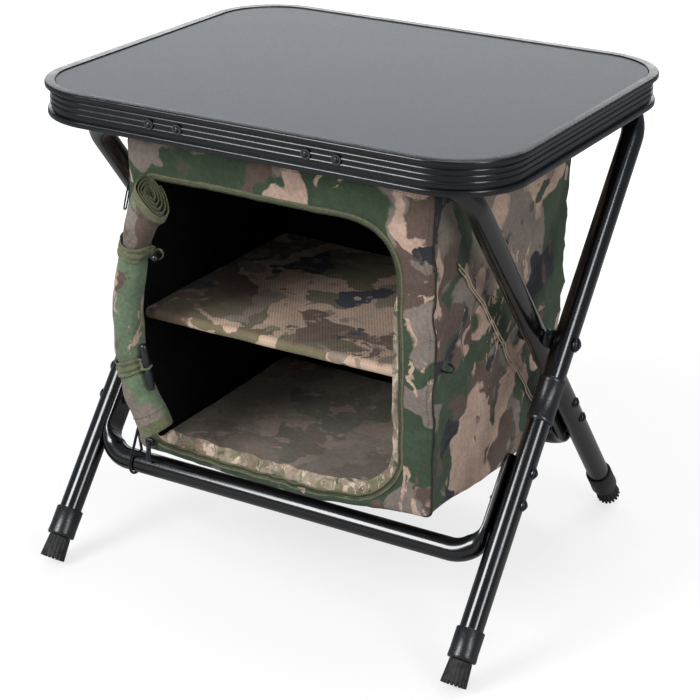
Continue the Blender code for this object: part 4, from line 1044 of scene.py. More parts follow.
def stretcher(name, leg_x, matrix, body, node):
    """A lighter tube whose ends are pressed flat, bent up inside the legs and rounded off at their tips."""
    bend, drop, wide, thick = 0.030, 0.2116, 0.0150, 0.00275
    flat_x, top, stations = leg_x - TUBE - 0.0003 - thick, 0.012 - BOLT_DROPS[0], []
    for reach, share in ((0, 0.45), (0.0008, 0.62), (0.002, 0.76), (0.004, 0.89), (0.007, 0.97), (0.011, 1.0)):
        stations.append((flat_x, top - reach, 0.0, 0.0, share))
    for level in (-0.150, -0.165, -0.176):
        stations.append((flat_x, level, 0.0, 0.0, 1.0))
    centre_x, centre_z = flat_x - bend, -drop + bend
    for i in range(25):
        turn = math.pi / 2 * i / 24
        roundness = smooth_step((turn - math.radians(10)) / math.radians(38))
        stations.append((centre_x + bend * math.cos(turn), centre_z - bend * math.sin(turn), turn, roundness, 1.0))
    stations += [(-x, z, math.pi - turn, full, share) for x, z, turn, full, share in reversed(stations)]
    rows = []
    for x, z, turn, full, share in stations:
        half_thick = thick + (TUBE - thick) * full
        half_wide = (wide + (TUBE - wide) * full) * share
        power, row = 2 / (4 - 2 * full), []
        for i in range(32):
            angle = 2 * math.pi * (i + 0.5) / 32
            across = half_thick * math.copysign(abs(math.cos(angle)) ** power, math.cos(angle))
            deep = half_wide * math.copysign(abs(math.sin(angle)) ** power, math.sin(angle))
            row.append(matrix @ Vector((x + across * math.cos(turn), deep, z - across * math.sin(turn))))
        rows.append(row)
    tube = made_of(name, skin(rows, wrap=True, caps=True), TUBE_PAINT, 50)
    settle_in(tube, body, [node])


def make_leg_frames():
    frame_tube("outer_leg_tube", OUTER_LEG_X, OUTER_DOWN, OUTER_UP, OUTER, "outer_frame", "outer_frame_tube")
    frame_tube("inner_leg_tube", INNER_LEG_X, INNER_DOWN, INNER_UP, INNER, "inner_frame", "inner_frame_tube")
    stretcher("front_crossbar", OUTER_LEG_X, OUTER, "outer_frame", "front_stretcher")
    stretcher("rear_crossbar", INNER_LEG_X, INNER, "inner_frame", "rear_stretcher")


def make_bolts():
    for kind, matrix, leg_x, body in (
        ("front", OUTER, OUTER_LEG_X, "outer_frame"), ("rear", INNER, INNER_LEG_X, "inner_frame"),
    ):
        heads, nuts = [], []
        for side, _ in SIDES:
            for drop in BOLT_DROPS:
                for start, way, places in (
                    (leg_x + TUBE - 0.0003, side, heads), (leg_x - TUBE - 0.0058, -side, nuts),
                ):
                    places.append((matrix @ Vector((side * start, 0, -drop)), (way, 0, 0)))
        nodes = [f"{kind}_stretcher_bolt_{word}_{level}" for _, word in SIDES for level in ("upper", "lower")]
        bolts = fasteners(f"{kind}_crossbar_bolts", heads, STEEL, 0.0045, 0.0026, 0.0055, 0.0009)
        settle_in(bolts, body, nodes)
        ends = fasteners(f"{kind}_crossbar_nuts", nuts, STEEL, 0.0036, 0.0030, 0.0052, 0.0022, 6)
        settle_in(ends, body, ())
    heads = [(OUTER @ Vector((side * (OUTER_LEG_X + TUBE), 0, 0)), (side, 0, 0)) for side, _ in SIDES]
    nuts = [(OUTER @ Vector((side * (INNER_LEG_X - TUBE - 0.0001), 0, 0)), (-side, 0, 0)) for side, _ in SIDES]
    pivots = fasteners("pivot_bolt_heads", heads, STEEL, 0.0062, 0.0034, 0.0071, 0.0010)
    settle_in(pivots, "outer_frame", ["pivot_bolt_left", "pivot_bolt_right"])
    ends = fasteners("pivot_nuts", nuts, STEEL, 0.0050, 0.0032, 0.0066, 0.0028, 6)
    settle_in(ends, "outer_frame", ())


def moulding(name, at, profile, body, node):
    """A turned nylon piece at its place on a leg."""
    piece = made_of(name, placed(at, turned(profile, 40, True)), NYLON, 50)
    settle_in(piece, body, [node])


def make_mouldings():
    """Collars below the pivots, spacers in them, and ferrules above the feet."""
    for side, word in SIDES:
        at = OUTER @ Matrix.Translation((side * OUTER_LEG_X, 0, -0.036))
        bore, out = 0.0112, 0.0128
        collar = [
            (bore, 0), (out - 0.0005, 0), (out, -0.0006), (out, -0.0040), (out - 0.0004, -0.0046),
            (out - 0.0004, -0.0374), (out, -0.0380), (out, -0.0414), (out - 0.0005, -0.0420), (bore, -0.0420),
        ]
        moulding(f"leg_sleeve_{word}", at, collar, "outer_frame", f"leg_collar_{word}")
        at = OUTER @ Matrix.Translation((side * (OUTER_LEG_X + INNER_LEG_X) / 2, 0, 0))
        at = at @ Matrix.Rotation(math.pi / 2, 4, "Y")
        bore, half, out = 0.0043, 0.0035, 0.0095
        washer = [
            (bore, half), (out - 0.0006, half), (out, half - 0.0006), (out - 0.0008, 0.0008),
            (out - 0.0008, -0.0008), (out, 0.0006 - half), (out - 0.0006, -half), (bore, -half),
        ]
        moulding(f"pivot_washer_{word}", at, washer, "outer_frame", f"pivot_spacer_{word}")
    bore, low, high, out = 0.0112, 0.0230, 0.0516, 0.0135
    ferrule = [
        (bore, high), (out - 0.0009, high), (out - 0.0002, high - 0.0010), (out - 0.0003, high - 0.0200),
        (out, low + 0.0034), (out, low + 0.0008), (out - 0.0008, low), (0.0060, low), (bore, low + 0.004),
    ]
    for kind, matrix, leg_x, down in LEGS:
        for side, word in SIDES:
            at = matrix @ Matrix.Translation((side * leg_x, 0, -down))
            moulding(f"{kind}_ferrule_{word}", at, ferrule, f"{kind}_frame", f"leg_ferrule_{kind}_{word}")


def make_feet():
    """Flared rubber feet with ribs all round, whose lower ends stand out of the core like a castle's wall."""
    own = sizes()
    top, bottom, high = 0.0112 - own.rib_depth, 0.0124 - own.rib_depth, 0.0226
    core = [
        (0, high), (top - 0.0006, high), (top, high - 0.0006),
        (bottom, 0.0026), (bottom - 0.0008, 0.0012), (0, 0.0012),
    ]
    values = {
        "Rib count": own.rib_count, "Rib radius": 0.0014, "Top radius": top - 0.0004,
        "Bottom radius": bottom - 0.0003, "Height": high - 0.0003, "Material": finish(RUBBER),
    }
    for kind, matrix, leg_x, down in LEGS:
        for side, word in SIDES:
            name = f"ribbed_foot_{kind}_{word}"
            at = matrix @ Matrix.Translation((side * leg_x, 0, -down))
            foot = with_tree(name, rib_tree(), mesh_of(name, turned(core, 36)), values, at)
            foot.data.set_sharp_from_angle(angle=math.radians(40))
            settle_in(foot, f"{kind}_frame", [f"rubber_foot_{kind}_{word}"])


# Bag. Its pieces are laid out on the flat bag first, and then all settle in the same way.


def front_point(x, out, height):
    """World place of a point on the front panel: across, out from its back, and up from its lower edge."""
    return FRONT @ Vector((x, -out, height))


def settle(point):
    """Where a point of the flat bag ends up: the bottom sags, the sides draw in and the cloth wrinkles."""
    own = sizes()
    x, y, z = point
    low = 1 - min(max((z - BAG_LOW) / (BAG_HIGH - BAG_LOW), 0.0), 1.0)
    rear = smooth_step((y - 0.03) / 0.07)
    # The bottom hangs, a little less at the left and the rear, and its front right corner is drawn up
    right = 0.005 - 0.0135 * smooth_step((y + 0.137) / 0.15) + 0.003 * smooth_step((y - 0.06) / 0.05)
    hang = -own.sag + 0.0045 * smooth_step(-x / 0.16) + (own.sag + right) * smooth_step((x - 0.02) / 0.14)
    middle = smooth_step(1 - abs(x) / 0.15) * smooth_step(1 - abs(y) / 0.11)
    z += low**1.6 * (hang * (1 - 0.35 * rear) - 0.003 * middle)
    # The right side draws in at its foot, the left one at its top, and both a little halfway up
    x -= 0.0036 * smooth_step(x / 0.16) * low**2
    x += 0.0085 * smooth_step(-x / 0.16) * (1 - low) ** 2.2 * (1 - 0.5 * rear)
    x += 0.0048 * smooth_step(-x / 0.16) * smooth_step((z - 0.33) / 0.07) * (1 - rear)
    side = smooth_step((abs(x) - 0.13) / 0.03)
    wave = math.sin(math.pi * min(max(low, 0), 1))
    x -= math.copysign(0.0022, x) * side * wave * smooth_step((y + 0.15) / 0.1)
    # Slack hangs in slanting folds on the sides, and in short waves along the sill
    slant = noise.noise(Vector(((y - z) * 16, (y + z) * 44, 3.7 + x)))
    crease = noise.noise(Vector(((y - z) * 30 + 4, (y + z) * 95, 8.1 + x)))
    x += math.copysign(1.0, x) * side * wave * (slant * 0.0052 + (0.4 - abs(crease)) * 0.0030)
    sill = bump_at(z, BAG_LOW + 0.010, 0.03) * smooth_step((-0.128 - y) / 0.006) * smooth_step(1 - abs(x) / 0.15)
    at = Vector((x, y, z + 0.0011 * sill * math.sin(x * 235 + 2.2 * math.sin(x * 61))))
    # Wrinkles in three scales, about 50, 20 and 10 mm across
    drift = noise.noise_vector(at * 19 + Vector((3.1, 7.7, 1.3)))
    ripple = noise.noise_vector(Vector((x * 46, y * 46, z * 30)) + Vector((9.2, 0.4, 5.5)))
    fold = noise.noise_vector(Vector((x * 95 + z * 40, y * 95, z * 62)) + Vector((1.2, 8.4, 2.5)))
    return at + (drift * 0.75 + ripple * 0.55 + fold * 0.24) * own.wrinkle


def settled(part):
    return [tuple(settle(p)) for p in part[0]], part[1]


def steps_between(low, high, edge, cell):
    """Grid lines from low to high with three closer ones in each rounded edge."""
    near = [0.0, 0.28 * edge, 0.6 * edge, edge]
    count = max(1, round((high - low - 2 * edge) / cell))
    inner = [low + edge + (high - low - 2 * edge) * i / count for i in range(1, count)]
    return [low + n for n in near] + inner + [high - n for n in reversed(near)]


def wrapped_box(low, high, edge, cell, open_front=None):
    """A box of grids with rounded edges; open_front gives the front's place at a height and leaves it open."""
    xs, zs = steps_between(low[0], high[0], edge, cell), steps_between(low[2], high[2], edge, cell)
    ys = steps_between(low[1], high[1], edge, cell)
    reach = high[1] - low[1]

    def bent(x, y, z):
        near = -math.inf if open_front else low[1] + edge
        core = (
            min(max(x, low[0] + edge), high[0] - edge),
            min(max(y, near), high[1] - edge),
            min(max(z, low[2] + edge), high[2] - edge),
        )
        away = Vector((x, y, z)) - Vector(core)
        if away.length > 1e-9:
            x, y, z = Vector(core) + away.normalized() * edge
        if open_front:
            share = (y - low[1]) / reach
            y += (open_front(z) - low[1]) * (1 - share)
        return (x, y, z)

    grids = [
        [[bent(low[0], y, z) for y in ys] for z in zs],
        [[bent(high[0], y, z) for y in ys] for z in zs],
        [[bent(x, high[1], z) for x in xs] for z in zs],
        [[bent(x, y, high[2]) for y in ys] for x in xs],
        [[bent(x, y, low[2]) for y in ys] for x in xs],
    ]
    if not open_front:
        grids.append([[bent(x, low[1], z) for x in xs] for z in zs])
    return joined(*[skin(grid) for grid in grids])


def thickened(piece, thickness, offset=-1.0, inner=None):
    """Gives a sheet its wall; inner is the material of its far side."""
    wall = piece.modifiers.new("Wall", "SOLIDIFY")
    wall.thickness = thickness
    wall.offset = offset
    if inner:
        piece.data.materials.append(inner)
        wall.material_offset = 1
        wall.material_offset_rim = 0
    return piece


def softened(piece):
    step = piece.modifiers.new("Soft", "SUBSURF")
    step.levels = step.render_levels = 1
    return piece


def sew_in(piece, nodes):
    """A finished soft piece rides on the frame that carries the bag, with a mesh of its own."""
    settle_in(piece, "outer_frame", nodes)
    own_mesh(piece)


def sew_cloth(sheet, thickness, nodes=(), offset=-1.0):
    """Gives a sheet of camouflage cloth its wall, softens it and sews it in."""
    sew_in(solid(softened(thickened(sheet, thickness, offset))), nodes)


def sew_stitches(name, lines, length, closed=False):
    """Rows of dark stitches."""
    seam = along_lines(name, lines, DARK_THREAD, sizes().stitch, length, 0.0006, closed=closed)
    sew_in(seam, ())


def front_at(height):
    """How far back the flat bag's front is at a height."""
    share = (height - BAG_LOW) / (BAG_HIGH - BAG_LOW)
    return BAG_FRONT + (BAG_FRONT_TOP - BAG_FRONT) * share


def outward_sheet(name, part, material):
    """A sheet of cloth with its faces turned away from the bag's middle."""
    mesh = mesh_of(name, part)
    face = mesh.polygons[len(mesh.polygons) // 2]
    if (face.center - Vector(BAG_MIDDLE)).dot(face.normal) < 0:
        mesh.flip_normals()
    return add_object(name, mesh, finish(material), 60)


def cord(name, line, radius, sides, material, closed=True, scales=None):
    """A round cord of one material along a line."""
    return made_of(name, rod(line, radius, sides, closed, scales), material, 60)


def make_bag_shell():
    """Top, bottom, sides and back as one soft shell, printed outside and lined in black."""
    low, high = (-BAG_HALF, BAG_FRONT, BAG_LOW), (BAG_HALF, BAG_BACK, BAG_HIGH)
    box = wrapped_box(low, high, BAG_CORNER, 0.0075, front_at)
    shell = thickened(outward_sheet("bag_shell", settled(box), CLOTH), 0.0018, inner=finish(LINING))
    sew_in(solid(shell), ["bag_body"])


def counted_outline(left, right, bottom, top, radii, steps, count):
    """Rounded outline with the same number of points whatever its size, so that two of them match."""
    corner_list = rounded_outline(left, right, bottom, top, radii, steps)
    points = []
    for side in range(4):
        start, end = side * (steps + 1), (side + 1) * (steps + 1)
        points += corner_list[start:end]
        after = corner_list[end % len(corner_list)]
        before = points[-1]
        points += [tuple(a + (b - a) * i / count for a, b in zip(before, after)) for i in range(1, count)]
    return points


def hinge_side(x):
    """1 at the opening's left side, where the door is sewn on, and 0 from a little way in."""
    return smooth_step((-0.128 - x) / 0.014)


def opening_line(offset, steps, count):
    left, right, bottom, top = OPENING
    radii = [radius + offset for radius in OPENING_RADII]
    return counted_outline(left - offset, right + offset, bottom - offset, top + offset, radii, steps, count)


def panel_line(inset, radius, count):
    """Outline of the front panel, in from its edge."""
    return counted_outline(inset - BAG_HALF, BAG_HALF - inset, inset, PANEL_HEIGHT - inset, [radius] * 4, 9, count)


def make_front_panel():
    """The panel round the door's opening, slightly puffed between its seams."""
    inner, outer = opening_line(0.0, 9, 30), panel_line(0, BAG_CORNER, 30)
    rows = []
    for share in (0, 0.08, 0.2, 0.35, 0.5, 0.65, 0.8, 0.92, 1):
        row = []
        for (x, v), (far_x, far_v) in zip(inner, outer):
            width = math.hypot(far_x - x, far_v - v)
            puff = min(width * 0.075, 0.003) * math.sin(math.pi * share) ** 0.7
            row.append(front_point(x + (far_x - x) * share, 0.0027 + puff, v + (far_v - v) * share))
        rows.append(row)
    panel = outward_sheet("front_panel", settled(skin(rows, wrap=True)), GREEN_CLOTH)
    sew_cloth(panel, 0.0022, ["bag_front_panel"])


def front_strip(name, material, lines):
    """A closed strip round the opening from several (offset, out) lines, narrow at the door's hinge."""
    rows = []
    for offset, out in lines:
        row = []
        for (x, v), (edge_x, edge_v) in zip(opening_line(offset, 12, 40), opening_line(0, 12, 40)):
            share = 1 - 0.85 * hinge_side(edge_x)
            x, v = edge_x + (x - edge_x) * share, edge_v + (v - edge_v) * share
            row.append(front_point(x, 0.0028 + (out - 0.0028) * share, v))
        rows.append(row)
    return solid(thickened(outward_sheet(name, settled(skin(rows, wrap=True)), material), 0.0008))


def opening_part(offset, out, count):
    """The opening's line on the settled panel, from the door's hinge round to it again, without the hinge."""
    line = [point for point in opening_line(offset, 12, count) if point[0] > -0.1415]
    gap = max(range(len(line)), key=lambda i: math.dist(line[i], line[(i + 1) % len(line)]))
    return [settle(front_point(x, out, v)) for x, v in line[gap + 1:] + line[:gap + 1]]


def make_zip():
    """Olive tape round the opening with the zip's coil and its stitched binding."""
    lines = ((-0.0012, 0.0030), (0.0008, 0.0044), (0.0026, 0.0046), (0.0046, 0.0038))
    sew_in(front_strip("zip_tape", OLIVE, lines), ())
    binding = cord("opening_binding", opening_part(0.0040, 0.0044, 40), 0.00115, 10, OLIVE, closed=False)
    sew_in(binding, ())
    line = opening_part(0.0002, 0.0049, 60)
    teeth = along_lines("zip_teeth", [line], COIL, sizes().tooth, 0.0013, 0.0020, 0.05)
    sew_in(teeth, ["zip_track"])
    sew_stitches("zip_tape_stitches", [opening_part(0.0024, 0.0051, 40)], 0.0026)


def make_hem():
    """Pale facing inside the opening: it leans in along the bottom and the right, with a wavy free edge."""
    edge, rows = opening_line(0.0, 12, 40), []
    for share in (-0.15, 0.0, 0.25, 0.5, 0.75, 1.0):
        row = []
        for (x, v), (far_x, far_v) in zip(edge, opening_line(-0.012, 12, 40)):
            reach = (smooth_step((0.235 - v) / 0.05) * 0.86 + 0.10) * (1 - 0.93 * hinge_side(x))
            reach *= 1 + 0.22 * noise.noise(Vector((x * 60, v * 60, 4.0)))
            back = 0.0014 - 0.0060 * max(share, 0) * reach
            back += 0.0010 * noise.noise(Vector((x * 90, v * 90, share * 2)))
            row.append(front_point(x + (far_x - x) * share * reach, back, v + (far_v - v) * share * reach))
        rows.append(row)
    sew_cloth(outward_sheet("opening_facing", settled(skin(rows, wrap=True)), HEM), 0.0009)


def make_piping():
    """Dark seam tape where the front panel meets the bag."""
    line = [settle(front_point(x, 0.0010, v)) for x, v in panel_line(-0.0003, BAG_CORNER + 0.0003, 40)]
    sew_in(cord("front_seam_piping", line, 0.0009, 8, SEAM), ["front_piping"])
    line = [settle(front_point(x, 0.0040, v)) for x, v in panel_line(0.004, BAG_CORNER - 0.002, 40)]
    sew_stitches("front_seam_stitches", [line], 0.0024, closed=True)


def make_shelf():
    """Foam shelf covered in spacer mesh: rounded at its edges, slightly sagging between the walls."""
    low, high = (-0.1588, -0.134, 0.2505), (0.1588, 0.1214, 0.2615)
    points, faces = wrapped_box(low, high, 0.0048, 0.008)
    shaped = []
    for x, y, z in points:
        inside = smooth_step(1 - abs(x) / 0.159) * smooth_step((0.150 + y) / 0.06)
        dip = 0.0026 * inside
        crown = 0.0008 * smooth_step((0.159 - abs(x)) / 0.02) * smooth_step((y + 0.134) / 0.02)
        wave = 0.0007 * noise.noise(Vector((x * 30, y * 30, 1.0)))
        shaped.append((x, y, z - dip + (crown if z > 0.256 else -crown) + wave))
    shelf = solid(softened(made_of("mesh_shelf", (shaped, faces), MESH, 80)))
    sew_in(shelf, ["shelf"])


def make_base_board():
    """The stiff board in the bag's bottom, covered in the same print; it follows the sagging cloth."""
    low, high = (-0.1500, -0.1345, 0.1242), (0.1500, 0.1125, 0.1272)
    points, faces = wrapped_box(low, high, 0.0012, 0.010)
    shaped = [tuple(settle(Vector(point))) for point in points]
    board = made_of("covered_base_board", (shaped, faces), BOARD_COVER, 60)
    sew_in(board, ["base_board"])


# Rolled door with its ties and toggles

# Each tie's name and height, its tail's direction and length, and its peg's tilt
TIES = (
    ("upper", 0.222, math.radians(20), 0.0040, math.radians(69)),
    ("lower", 0.100, math.radians(-13), 0.0035, 0.0),
)
TIE_RADIUS, TAPE, PEG_RADIUS = 0.0130, 0.0012, 0.004  # of the frame's own ties and pegs
ROLL_OUT = 0.0251
ROLL_LOW, ROLL_HIGH = 0.0340, 0.2888
ROLL_EDGE = math.radians(96)  # where the rolled cloth's outer edge lies


def roll_axis(height):
    """Across and slope of the roll's axis at a height up the panel: both ends bow in over the opening."""
    top, middle = PANEL_HEIGHT - 0.032, 0.120
    span, bow = (top - middle, 0.041) if height > middle else (middle - ROLL_LOW, 0.027)
    away = height - middle
    return -0.149 + bow * (away / span) ** 2, 2 * bow * away / span**2


def roll_radius(height):
    """Radius of the rolled door: full at its ends, drawn in at both ties."""
    keys = (
        (0.030, 0.0176), (0.050, 0.0178), (0.078, 0.0170), (0.090, 0.0154), (0.095, 0.0136), (0.105, 0.0136),
        (0.111, 0.0154), (0.122, 0.0163), (0.160, 0.0162), (0.198, 0.0163), (0.211, 0.0154), (0.217, 0.0136),
        (0.227, 0.0136), (0.233, 0.0152), (0.246, 0.0166), (0.272, 0.0176), (0.290, 0.0186),
    )
    heights, radii = zip(*keys)
    return float(np.interp(height, heights, radii))


def end_slant(height, across):
    """How far the roll's upper end drops towards the opening, at a place across it."""
    return 0.5 * smooth_step((height - 0.245) / 0.044) * (across + 0.0186)


def flared(height, side):
    """How much wider the roll is near its loose ends: to the right at the top, to the left at the bottom."""
    top = 0.45 * smooth_step((height - 0.248) / 0.036) * smooth_step(side + 0.5)
    return 1 + top + 0.25 * smooth_step((0.062 - height) / 0.026) * smooth_step(0.5 - side)


def roll_frame(height):
    """Place of the roll's axis at a height, with local X and Y square to it."""
    x, slope = roll_axis(height)
    return FRONT @ Matrix.Translation((x, -ROLL_OUT, height)) @ Matrix.Rotation(math.atan(slope), 4, "Y")


def make_roll():
    """The door rolled up into a spiral of cloth, pleated where the ties gather it."""
    turns, steps, levels = sizes().roll_turns, 22, 72
    count = round(turns * steps)
    rows, centres = [], []
    for j in range(levels + 1):
        height = ROLL_LOW + (ROLL_HIGH - ROLL_LOW) * j / levels
        place, radius = roll_frame(height), roll_radius(height)
        centres.append(place.to_translation())
        gather = max(bump_at(height, tie[1], 0.030) for tie in TIES)
        loose = 1 - 0.55 * gather
        row = []
        for i in range(count + 1):
            share = i / count
            angle = 2 * math.pi * turns * (share - 1) + ROLL_EDGE
            size = radius * (0.26 + 0.74 * share) - 0.0011
            around = Vector((math.cos(angle), math.sin(angle), 0))
            pleat = 0.055 * math.cos(9 * angle + 4 * noise.noise(Vector((height * 25, 1, 0)))) * gather**2
            pleat += 0.14 * loose * noise.noise(around * 1.1 + Vector((0, 0, height * 34)))
            pleat += 0.085 * loose * noise.noise(around * 2.6 + Vector((5, 0, height * 75)))
            across = around.x * size * (1 + pleat) * flared(height, around.x)
            row.append(place @ Vector((across, around.y * size * (1 + pleat), -end_slant(height, across))))
        rows.append(row)
    door = made_of("rolled_door", skin(rows), DOOR_CLOTH, 60, merge=False)
    door.data.materials.append(finish(OLIVE))
    for k, face in enumerate(door.data.polygons):
        row, column = divmod(k, count)
        if row < 3 or row >= levels - 3 or column >= count - 3:
            face.material_index = 1
    door = solid(softened(thickened(door, 0.0016, 0.0)))
    sew_in(door, ["door_roll"])
    lines = []
    for inset in (5, levels - 5):
        line = []
        for i in range(count - steps, count):
            away = rows[inset][i] - centres[inset]
            line.append(rows[inset][i] + Vector((away.x, away.y, 0)).normalized() * 0.0012)
        lines.append(line)
    sew_stitches("roll_end_stitches", lines, 0.0024)


def make_door_flap():
    """The door's cloth between the opening's left side, where it is sewn on, and the roll."""
    rows = []
    for v in np.linspace(0.036, 0.284, 40):
        place = roll_frame(v)
        size = roll_radius(v) - 0.0006
        across = math.cos(ROLL_EDGE) * size
        far = place @ Vector((across, math.sin(ROLL_EDGE) * size, -end_slant(v, across)))
        near = settle(front_point(-0.1508, 0.0024, v))
        row = []
        for share in np.linspace(0, 1, 9):
            slack = 0.0022 * math.sin(math.pi * share) * (1 + noise.noise(Vector((0.3, 1.7, v * 45))))
            row.append(near.lerp(far, share) + Vector((-slack, 0, 0)))
        rows.append(row)
    sew_cloth(made_of("door_hinge_flap", skin(rows), DOOR_CLOTH, 60), 0.0012, offset=0.0)


def tie_points(radius, angle, tail_end, width, steps):
    """A band's line: once round the roll from the tail and back to it, then out to the toggle."""
    spread = math.asin(width / 2 / radius)
    ring_part = arc((0, 0), radius, angle + spread, angle + 2 * math.pi - spread, steps)
    along, across = (math.cos(angle), math.sin(angle)), (-math.sin(angle), math.cos(angle))
    tips = [
        (tail_end * along[0] + side * width / 2 * across[0], tail_end * along[1] + side * width / 2 * across[1])
        for side in (1, -1)
    ]
    return [tips[0], *ring_part, tips[1]]


def make_ties():
    """Olive tapes that gather the roll, and the pegs that hold their loops."""
    for word, height, angle, tail, tilt in TIES:
        place = roll_frame(height)
        inner = TIE_RADIUS + TAPE / 2
        tail_end = inner + TAPE + tail
        line = tie_points(inner + TAPE / 2, angle, tail_end, 0.0034, 44)
        rows = []
        for i, (x, y) in enumerate(line):
            row = []
            for k in range(9):
                share = k / 8 - 0.5
                width = 0.0150 * (1 - 0.5 * smooth_step(abs(i / (len(line) - 1) - 0.5) * 2.6 - 0.9))
                rise = 0.0011 * noise.noise(Vector((x * 160, y * 160, share * 5 + height * 90)))
                rise += 0.0013 * math.cos(share * math.pi * 4.4 + 1.4 * math.sin(i / 5))
                scale = 1 + rise / max(math.hypot(x, y), 0.004)
                twist = 0.0022 * math.sin(i / len(line) * 2 * math.pi * 1.5 + height * 50)
                row.append(place @ Vector((x * scale, y * scale, share * width + twist)))
            rows.append(row)
        band = softened(thickened(made_of(f"door_tie_{word}", skin(rows), OLIVE, 60, merge=False), 0.0010, 0.0))
        sew_in(solid(band), [f"tie_strap_{word}"])
        reach = tail_end + 0.0003 + PEG_RADIUS
        held = place @ Matrix.Rotation(angle, 4, "Z") @ Matrix.Translation((reach, 0, 0))
        held = held @ Matrix.Rotation(tilt, 4, "X")
        half = 0.024
        upper = [
            (0, half), (0.0016, half - 0.0003), (0.0030, half - 0.0016), (0.0036, half - 0.0040),
            (0.0039, 0.010), (0.0039, 0.0042), (0.0031, 0.0034),
        ]
        lower = [(radius, -z) for radius, z in reversed(upper)]
        peg = made_of(f"door_peg_{word}", placed(held, turned(upper + lower, 24)), NYLON, 40)
        sew_in(peg, [f"toggle_{word}"])
        loop = [held @ Vector(point) for point in loop_round_peg()]
        sew_in(cord(f"peg_loop_{word}", loop, 0.0011, 10, OLIVE), ())


def loop_round_peg():
    """A small loop of tape from the tie's tail round the middle of its peg."""
    turns = [2 * math.pi * i / 28 for i in range(28)]
    return [
        (
            0.0046 * math.cos(turn) - 0.0006 * (1 + math.cos(turn)),
            0.0046 * math.sin(turn),
            0.0008 * math.sin(2 * turn),
        )
        for turn in turns
    ]


def make_zip_pull():
    """The slider at the zip's lower left end and the tape tab that swings from it."""
    slider = rounded_copy("zip_slider", "zip_slider_body", 0.0011, 3, STEEL, 35)
    sew_in(slider, ["zip_slider"])
    low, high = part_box("zip_pull")
    middle = (low + high) / 2
    rows = []
    for i in range(13):
        share = i / 12
        z = high.z - (high.z - low.z) * share
        half = 0.0029 - 0.0011 * smooth_step(1 - share * 5) - 0.0009 * smooth_step((share - 0.85) / 0.15)
        bow = 0.0005 * math.sin(share * 5)
        rows.append([
            (middle.x + half * math.cos(turn), middle.y + bow + 0.0007 * math.sin(turn), z)
            for turn in np.linspace(0, 2 * math.pi, 16, endpoint=False)
        ])
    tab = made_of("zip_pull_tab", skin(rows, wrap=True, caps=True), WEBBING, 50)
    # The tab rides on the zip pull's body
    settle_in(tab, "zip_pull", ["zip_pull"])
    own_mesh(tab)


# Straps, cords and the side pocket


def make_rail_straps():
    """Webbing loops from the rails to the bag's top edges."""
    seam = Vector((0, BAG_FRONT_TOP - 0.0028, BAG_HIGH + 0.0043))
    for kind, y, target, body in (
        ("front", FRONT_RAIL_Y, seam, "inner_frame"),
        ("rear", REAR_RAIL_Y, Vector((0, BAG_BACK - 0.0055, BAG_HIGH - 0.0035)), "outer_frame"),
    ):
        centre = Vector((0, y, RAIL_Z))
        away = target - centre
        if kind == "front":
            away = (PIVOT - centre).normalized() * (away.length - 0.0005)
        angle, reach = math.atan2(away.z, away.y), away.length - 0.0006
        line = tie_points(TUBE + 0.0011, angle, reach, 0.0022, 40)
        for side, word in SIDES:
            rows = []
            for along, up in line:
                rows.append([
                    (side * (BAG_HALF - 0.0325) + across, y + along, RAIL_Z + up)
                    for across in np.linspace(-0.0123, 0.0123, 9)
                ])
            strap = thickened(made_of(f"rail_loop_{kind}_{word}", skin(rows), WEBBING, 50), 0.0013, 0.0)
            settle_in(solid(strap), body, [f"rail_strap_{kind}_{word}"])


def make_cords():
    """The elastic that ties the bag's corner to the crossbar, and a small loop on its side."""
    bar_y, bar_z = -0.13690, 0.09832  # the front crossbar's axis
    apex = Vector((-BAG_HALF - 0.0018, BAG_FRONT - 0.0025, BAG_LOW + 0.014))
    radius = TUBE + 0.0018
    away = math.atan2(apex.z - bar_z, apex.y - bar_y)
    spread = math.acos(radius / math.hypot(apex.z - bar_z, apex.y - bar_y))
    ring_part = arc((bar_y, bar_z), radius, away + spread, away + 2 * math.pi - spread, 24)
    line = [tuple(apex)]
    for i, (y, z) in enumerate(ring_part):
        line.append((-BAG_HALF - 0.005 - 0.0032 * i / 24, y, z))
    elastic = cord("corner_elastic_loop", curve_through([*line, line[0]], 90)[:-1], 0.0014, 12, ELASTIC)
    settle_in(elastic, "outer_frame", ["corner_elastic"])
    x, y, z = BAG_HALF + 0.0008, BAG_FRONT + 0.006, BAG_LOW + 0.149
    loop = []
    for i in range(25):
        out, over = math.sin(math.pi * i / 24), math.cos(math.pi * i / 24)
        loop.append(settle(Vector((x + 0.0082 * out, y + 0.0085 * over, z - 0.0025 * out))))
    sew_in(cord("side_cord_loop", loop, 0.0010, 10, ELASTIC, closed=False), ["side_loop"])
    # A longer loop, knotted to the upper left corner, hangs beside the rolled door
    knot = settle(front_point(-BAG_HALF, 0.0014, 0.2800))
    drop, apart = Vector((-0.0068, -0.0004, -0.0310)), Vector((0.0013, 0, 0.0004))
    line = [
        knot, knot + drop * 0.5 - apart, knot + drop - apart, knot + drop * 1.05,
        knot + drop + apart, knot + drop * 0.5 + apart, knot,
    ]
    smooth = curve_through([tuple(point) for point in line], 80)[:-1]
    thick = [1 + 1.3 * smooth_step(1 - (Vector(point) - knot).length / 0.0035) for point in smooth]
    sew_in(cord("upper_corner_loop", smooth, 0.0008, 8, ELASTIC, scales=thick), ())


